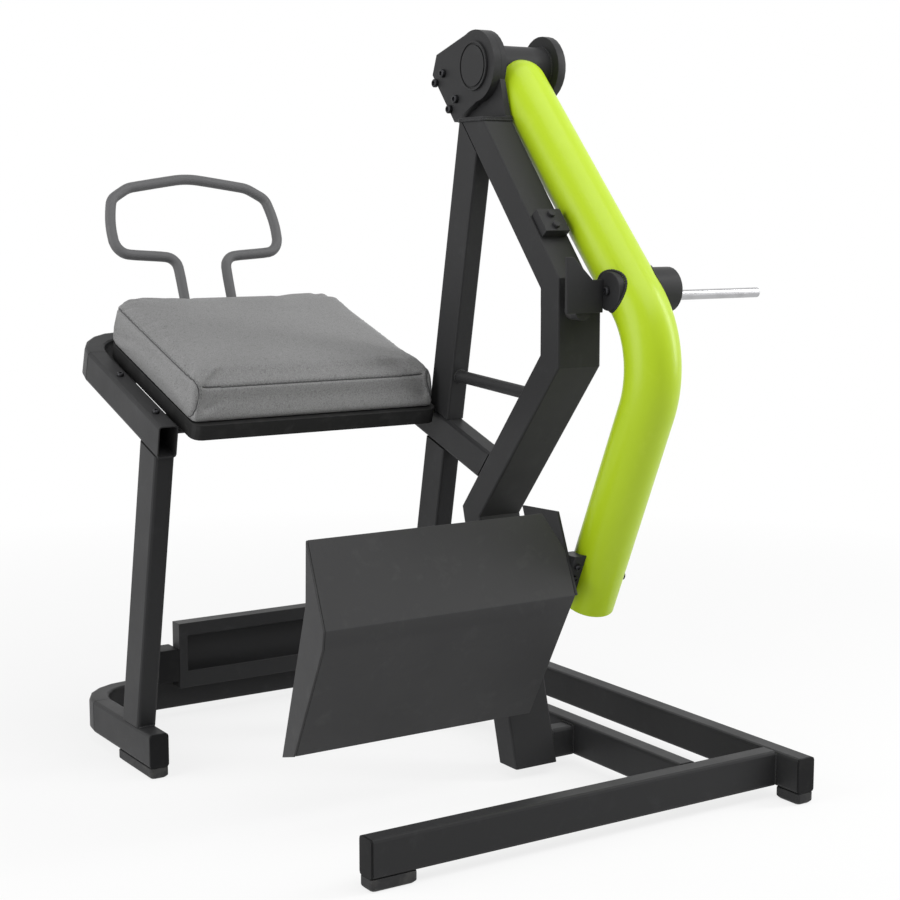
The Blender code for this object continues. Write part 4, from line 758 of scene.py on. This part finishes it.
def stitches(work, path, cushion, shift):
    """Adds short threads beside a seam, laid on the cover with their ends sunk in."""
    for spot, ahead in zip(path, path[1:]):
        run = (ahead - spot).normalized()
        found, place, normal = cushion.closest_point_on_mesh(spot + shift)[:3]
        if not found:
            continue
        lift = normal * STITCH_LIFT
        half = run * STITCH_LENGTH / 2
        low = normal * STITCH_RADIUS
        points = [
            place - half - low,
            place - half * STITCH_FLAT + lift,
            place + half * STITCH_FLAT + lift,
            place + half - low,
        ]
        add_tube(work, points, [STITCH_RADIUS] * len(points), THREAD_SIDES)


def sewn(cushion, seams):
    """Lays a bead along each seam and stitches on the side that the seam's direction points to."""
    beads = bmesh.new()
    threads = bmesh.new()
    for path, inward in seams:
        laid = [cushion.closest_point_on_mesh(spot)[1] for spot in evenly_spaced(path, BEAD_STEP)]
        add_tube(beads, laid, [SEAM_BEAD] * len(laid), THREAD_SIDES)
        stitches(threads, evenly_spaced(path, STITCH_STEP), cushion, inward * STITCH_OFFSET)
    new_piece("pad_seams", beads, "piping_vinyl", "frame")
    new_piece("pad_stitches", threads, "pad_thread", "frame")


def build_cushion():
    cushion = cushion_start()
    swollen(cushion)
    plumped(cushion)
    smooth = cushion.modifiers.new("smooth", "SUBSURF")
    smooth.levels = smooth.render_levels = 1
    applied(cushion)
    bpy.context.view_layer.update()
    sizes = cushion_frame(cushion.data)
    seams = [(ridge(cushion, side_seam_rays(*sizes, side)), Vector((-side, 0, 0))) for side in (-1, 1)]
    seams.append((ridge(cushion, rear_seam_rays(*sizes)), PAD_RUN))
    seams_drawn_in(cushion, [path for path, inward in seams])
    cushion.data.shade_smooth()
    cushion.data.materials.clear()
    cushion.data.materials.append(MATERIALS["pad_vinyl"])
    bpy.context.view_layer.update()
    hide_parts("pad_cushion")
    sewn(cushion, seams)
    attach(cushion, "frame")


# weld beads
def surface_of(name):
    mesh = NODES[name].data
    corners = [vertex.co for vertex in mesh.vertices]
    return BVHTree.FromPolygons(corners, [tuple(face.vertices) for face in mesh.polygons])


def contact_points(first, second):
    """The corners of one node's mesh that lie on another node."""
    surface = surface_of(second)
    places = {tuple(round(number, 5) for number in vertex.co) for vertex in NODES[first].data.vertices}
    return [Vector(place) for place in sorted(places) if surface.find_nearest(place)[3] < WELD_REACH]


def outer_loop(points):
    """The flat outline round the points."""
    start = points[0]
    far = max(points, key=lambda point: (point - start).length) - start
    wide = max(points, key=lambda point: far.cross(point - start).length) - start
    run = far.normalized()
    across = far.cross(wide).cross(far).normalized()
    flat = [((point - start).dot(run), (point - start).dot(across)) for point in points]
    return [points[index] for index in convex_hull_2d(flat)]


def bead(work, loop, radius):
    """Adds a closed weld bead with the ripples of its run."""
    spots = evenly_spaced(loop, WELD_STEP, closed=True)
    radii = []
    for index, spot in enumerate(spots):
        ripple = WELD_RIPPLE_SHARE * sin(2 * pi * index * WELD_STEP / WELD_RIPPLE)
        uneven = WELD_UNEVEN_SHARE * noise.noise(spot * WELD_UNEVEN_SCALE)
        radii.append(radius * (1 + ripple + uneven))
    add_tube(work, spots, radii, WELD_SIDES, closed=True)


def ring_on_arm(hub, side):
    """The line where a round hub meets the arm's surface, on its left or its right."""
    low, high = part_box(hub)
    centre = (low + high) / 2
    radius = (high.z - low.z) / 2 + WELD_REACH * 2
    surface = surface_of("arm")
    ring = []
    for step in range(RING_RAYS):
        angle = 2 * pi * step / RING_RAYS
        start = Vector((side, centre.y + radius * cos(angle), centre.z + radius * sin(angle)))
        place = surface.ray_cast(start, Vector((-side, 0, 0)))[0]
        if place is not None:
            ring.append(place)
    return ring


def build_frame_welds():
    work = bmesh.new()
    for first, second in FRAME_WELDS:
        bead(work, outer_loop(contact_points(first, second)), WELD_RADIUS)
    feet = contact_points("handle", "pad_frame_front")
    centre = sum(point.x for point in feet) / len(feet)
    left_foot = [point for point in feet if point.x < centre]
    right_foot = [point for point in feet if point.x > centre]
    for foot in (left_foot, right_foot):
        bead(work, outer_loop(foot), SMALL_WELD)
    new_piece("frame_welds", work, "frame_paint", "frame")


def build_arm_welds():
    work = bmesh.new()
    for first, second in ARM_WELDS:
        bead(work, outer_loop(contact_points(first, second)), SMALL_WELD)
    for hub, side in (("left_boss", -1), ("right_hub", 1)):
        bead(work, ring_on_arm(hub, side), SMALL_WELD)
    new_piece("arm_welds", work, "frame_paint", "arm")


# camera
def place_camera():
    data = bpy.data.cameras.new("camera")
    data.lens = CAMERA_LENS
    data.sensor_width = SENSOR_WIDTH
    data.sensor_fit = "HORIZONTAL"
    camera = bpy.data.objects.new("camera", data)
    SCENE.collection.objects.link(camera)
    camera.location = CAMERA_PLACE
    camera.rotation_euler = (radians(90 - CAMERA_DIP), 0, radians(-CAMERA_TURN))
    SCENE.camera = camera


# stage
def rays_that_see_white(tree):
    """1 for camera, glossy and transmission rays, and 0 for all others."""
    path = add_node(tree, "ShaderNodeLightPath")
    seen = path.outputs["Is Camera Ray"]
    for kind in ("Is Glossy Ray", "Is Transmission Ray"):
        either = add_node(tree, "ShaderNodeMath", operation="MAXIMUM")
        link(tree, seen, either.inputs[0])
        link(tree, path.outputs[kind], either.inputs[1])
        seen = either.outputs["Value"]
    return seen


def mixed_shader(tree, factor, own, white):
    mix = add_node(tree, "ShaderNodeMixShader")
    link(tree, factor, mix.inputs["Fac"])
    link(tree, own, mix.inputs[1])
    link(tree, white, mix.inputs[2])
    return mix.outputs["Shader"]


def floor_material():
    """A pale floor that camera, glossy and transmission rays see as white, apart from near the object."""
    material, tree, shader = new_tree("floor_white")
    shader.inputs["Base Color"].default_value = (*grey(FLOOR_WHITE), 1.0)
    shader.inputs["Roughness"].default_value = 0.9
    shader.inputs["Specular IOR Level"].default_value = 0.1
    distance = add_node(tree, "ShaderNodeVectorMath", operation="LENGTH")
    link(tree, object_coordinates(tree), distance.inputs[0])
    share = remapped(tree, distance.outputs["Value"], FLOOR_FADE, FLOOR_SHARE)
    factor = multiplied(tree, rays_that_see_white(tree), share)
    white = add_node(tree, "ShaderNodeEmission")
    white.inputs["Strength"].default_value = 1.0
    surface = mixed_shader(tree, factor, shader.outputs["BSDF"], white.outputs["Emission"])
    link(tree, surface, tree.nodes["Material Output"].inputs["Surface"])
    return material


def build_floor():
    mesh = bpy.data.meshes.new("floor")
    half = FLOOR_SIZE / 2
    corners = [(-half, -half, 0), (half, -half, 0), (half, half, 0), (-half, half, 0)]
    mesh.from_pydata(corners, [], [(0, 1, 2, 3)])
    floor = bpy.data.objects.new("floor", mesh)
    SCENE.collection.objects.link(floor)
    floor.data.materials.append(floor_material())


def build_world():
    """A soft white surround, which camera, glossy and transmission rays see at full white."""
    world = bpy.data.worlds.new("studio")
    SCENE.world = world
    world.use_nodes = True
    tree = world.node_tree
    own = tree.nodes["Background"]
    white = add_node(tree, "ShaderNodeBackground")
    for background, strength in ((own, WORLD_STRENGTH), (white, 1.0)):
        background.inputs["Color"].default_value = (*grey(1.0), 1.0)
        background.inputs["Strength"].default_value = strength
    factor = rays_that_see_white(tree)
    surface = mixed_shader(tree, factor, own.outputs["Background"], white.outputs["Background"])
    link(tree, surface, tree.nodes["World Output"].inputs["Surface"])


def build_lights():
    for name, place, size, power in LIGHTS:
        data = bpy.data.lights.new(name, "AREA")
        data.shape = "RECTANGLE"
        data.size, data.size_y = size
        data.energy = power
        light = bpy.data.objects.new(name, data)
        SCENE.collection.objects.link(light)
        light.location = place
        light.rotation_euler = (Vector(LIGHT_TARGET) - Vector(place)).to_track_quat("-Z", "Y").to_euler()


finish_nodes()
build_cushion()
build_frame_welds()
build_arm_welds()
place_camera()
build_floor()
build_world()
build_lights()
SCENE.view_settings.view_transform = "Standard"
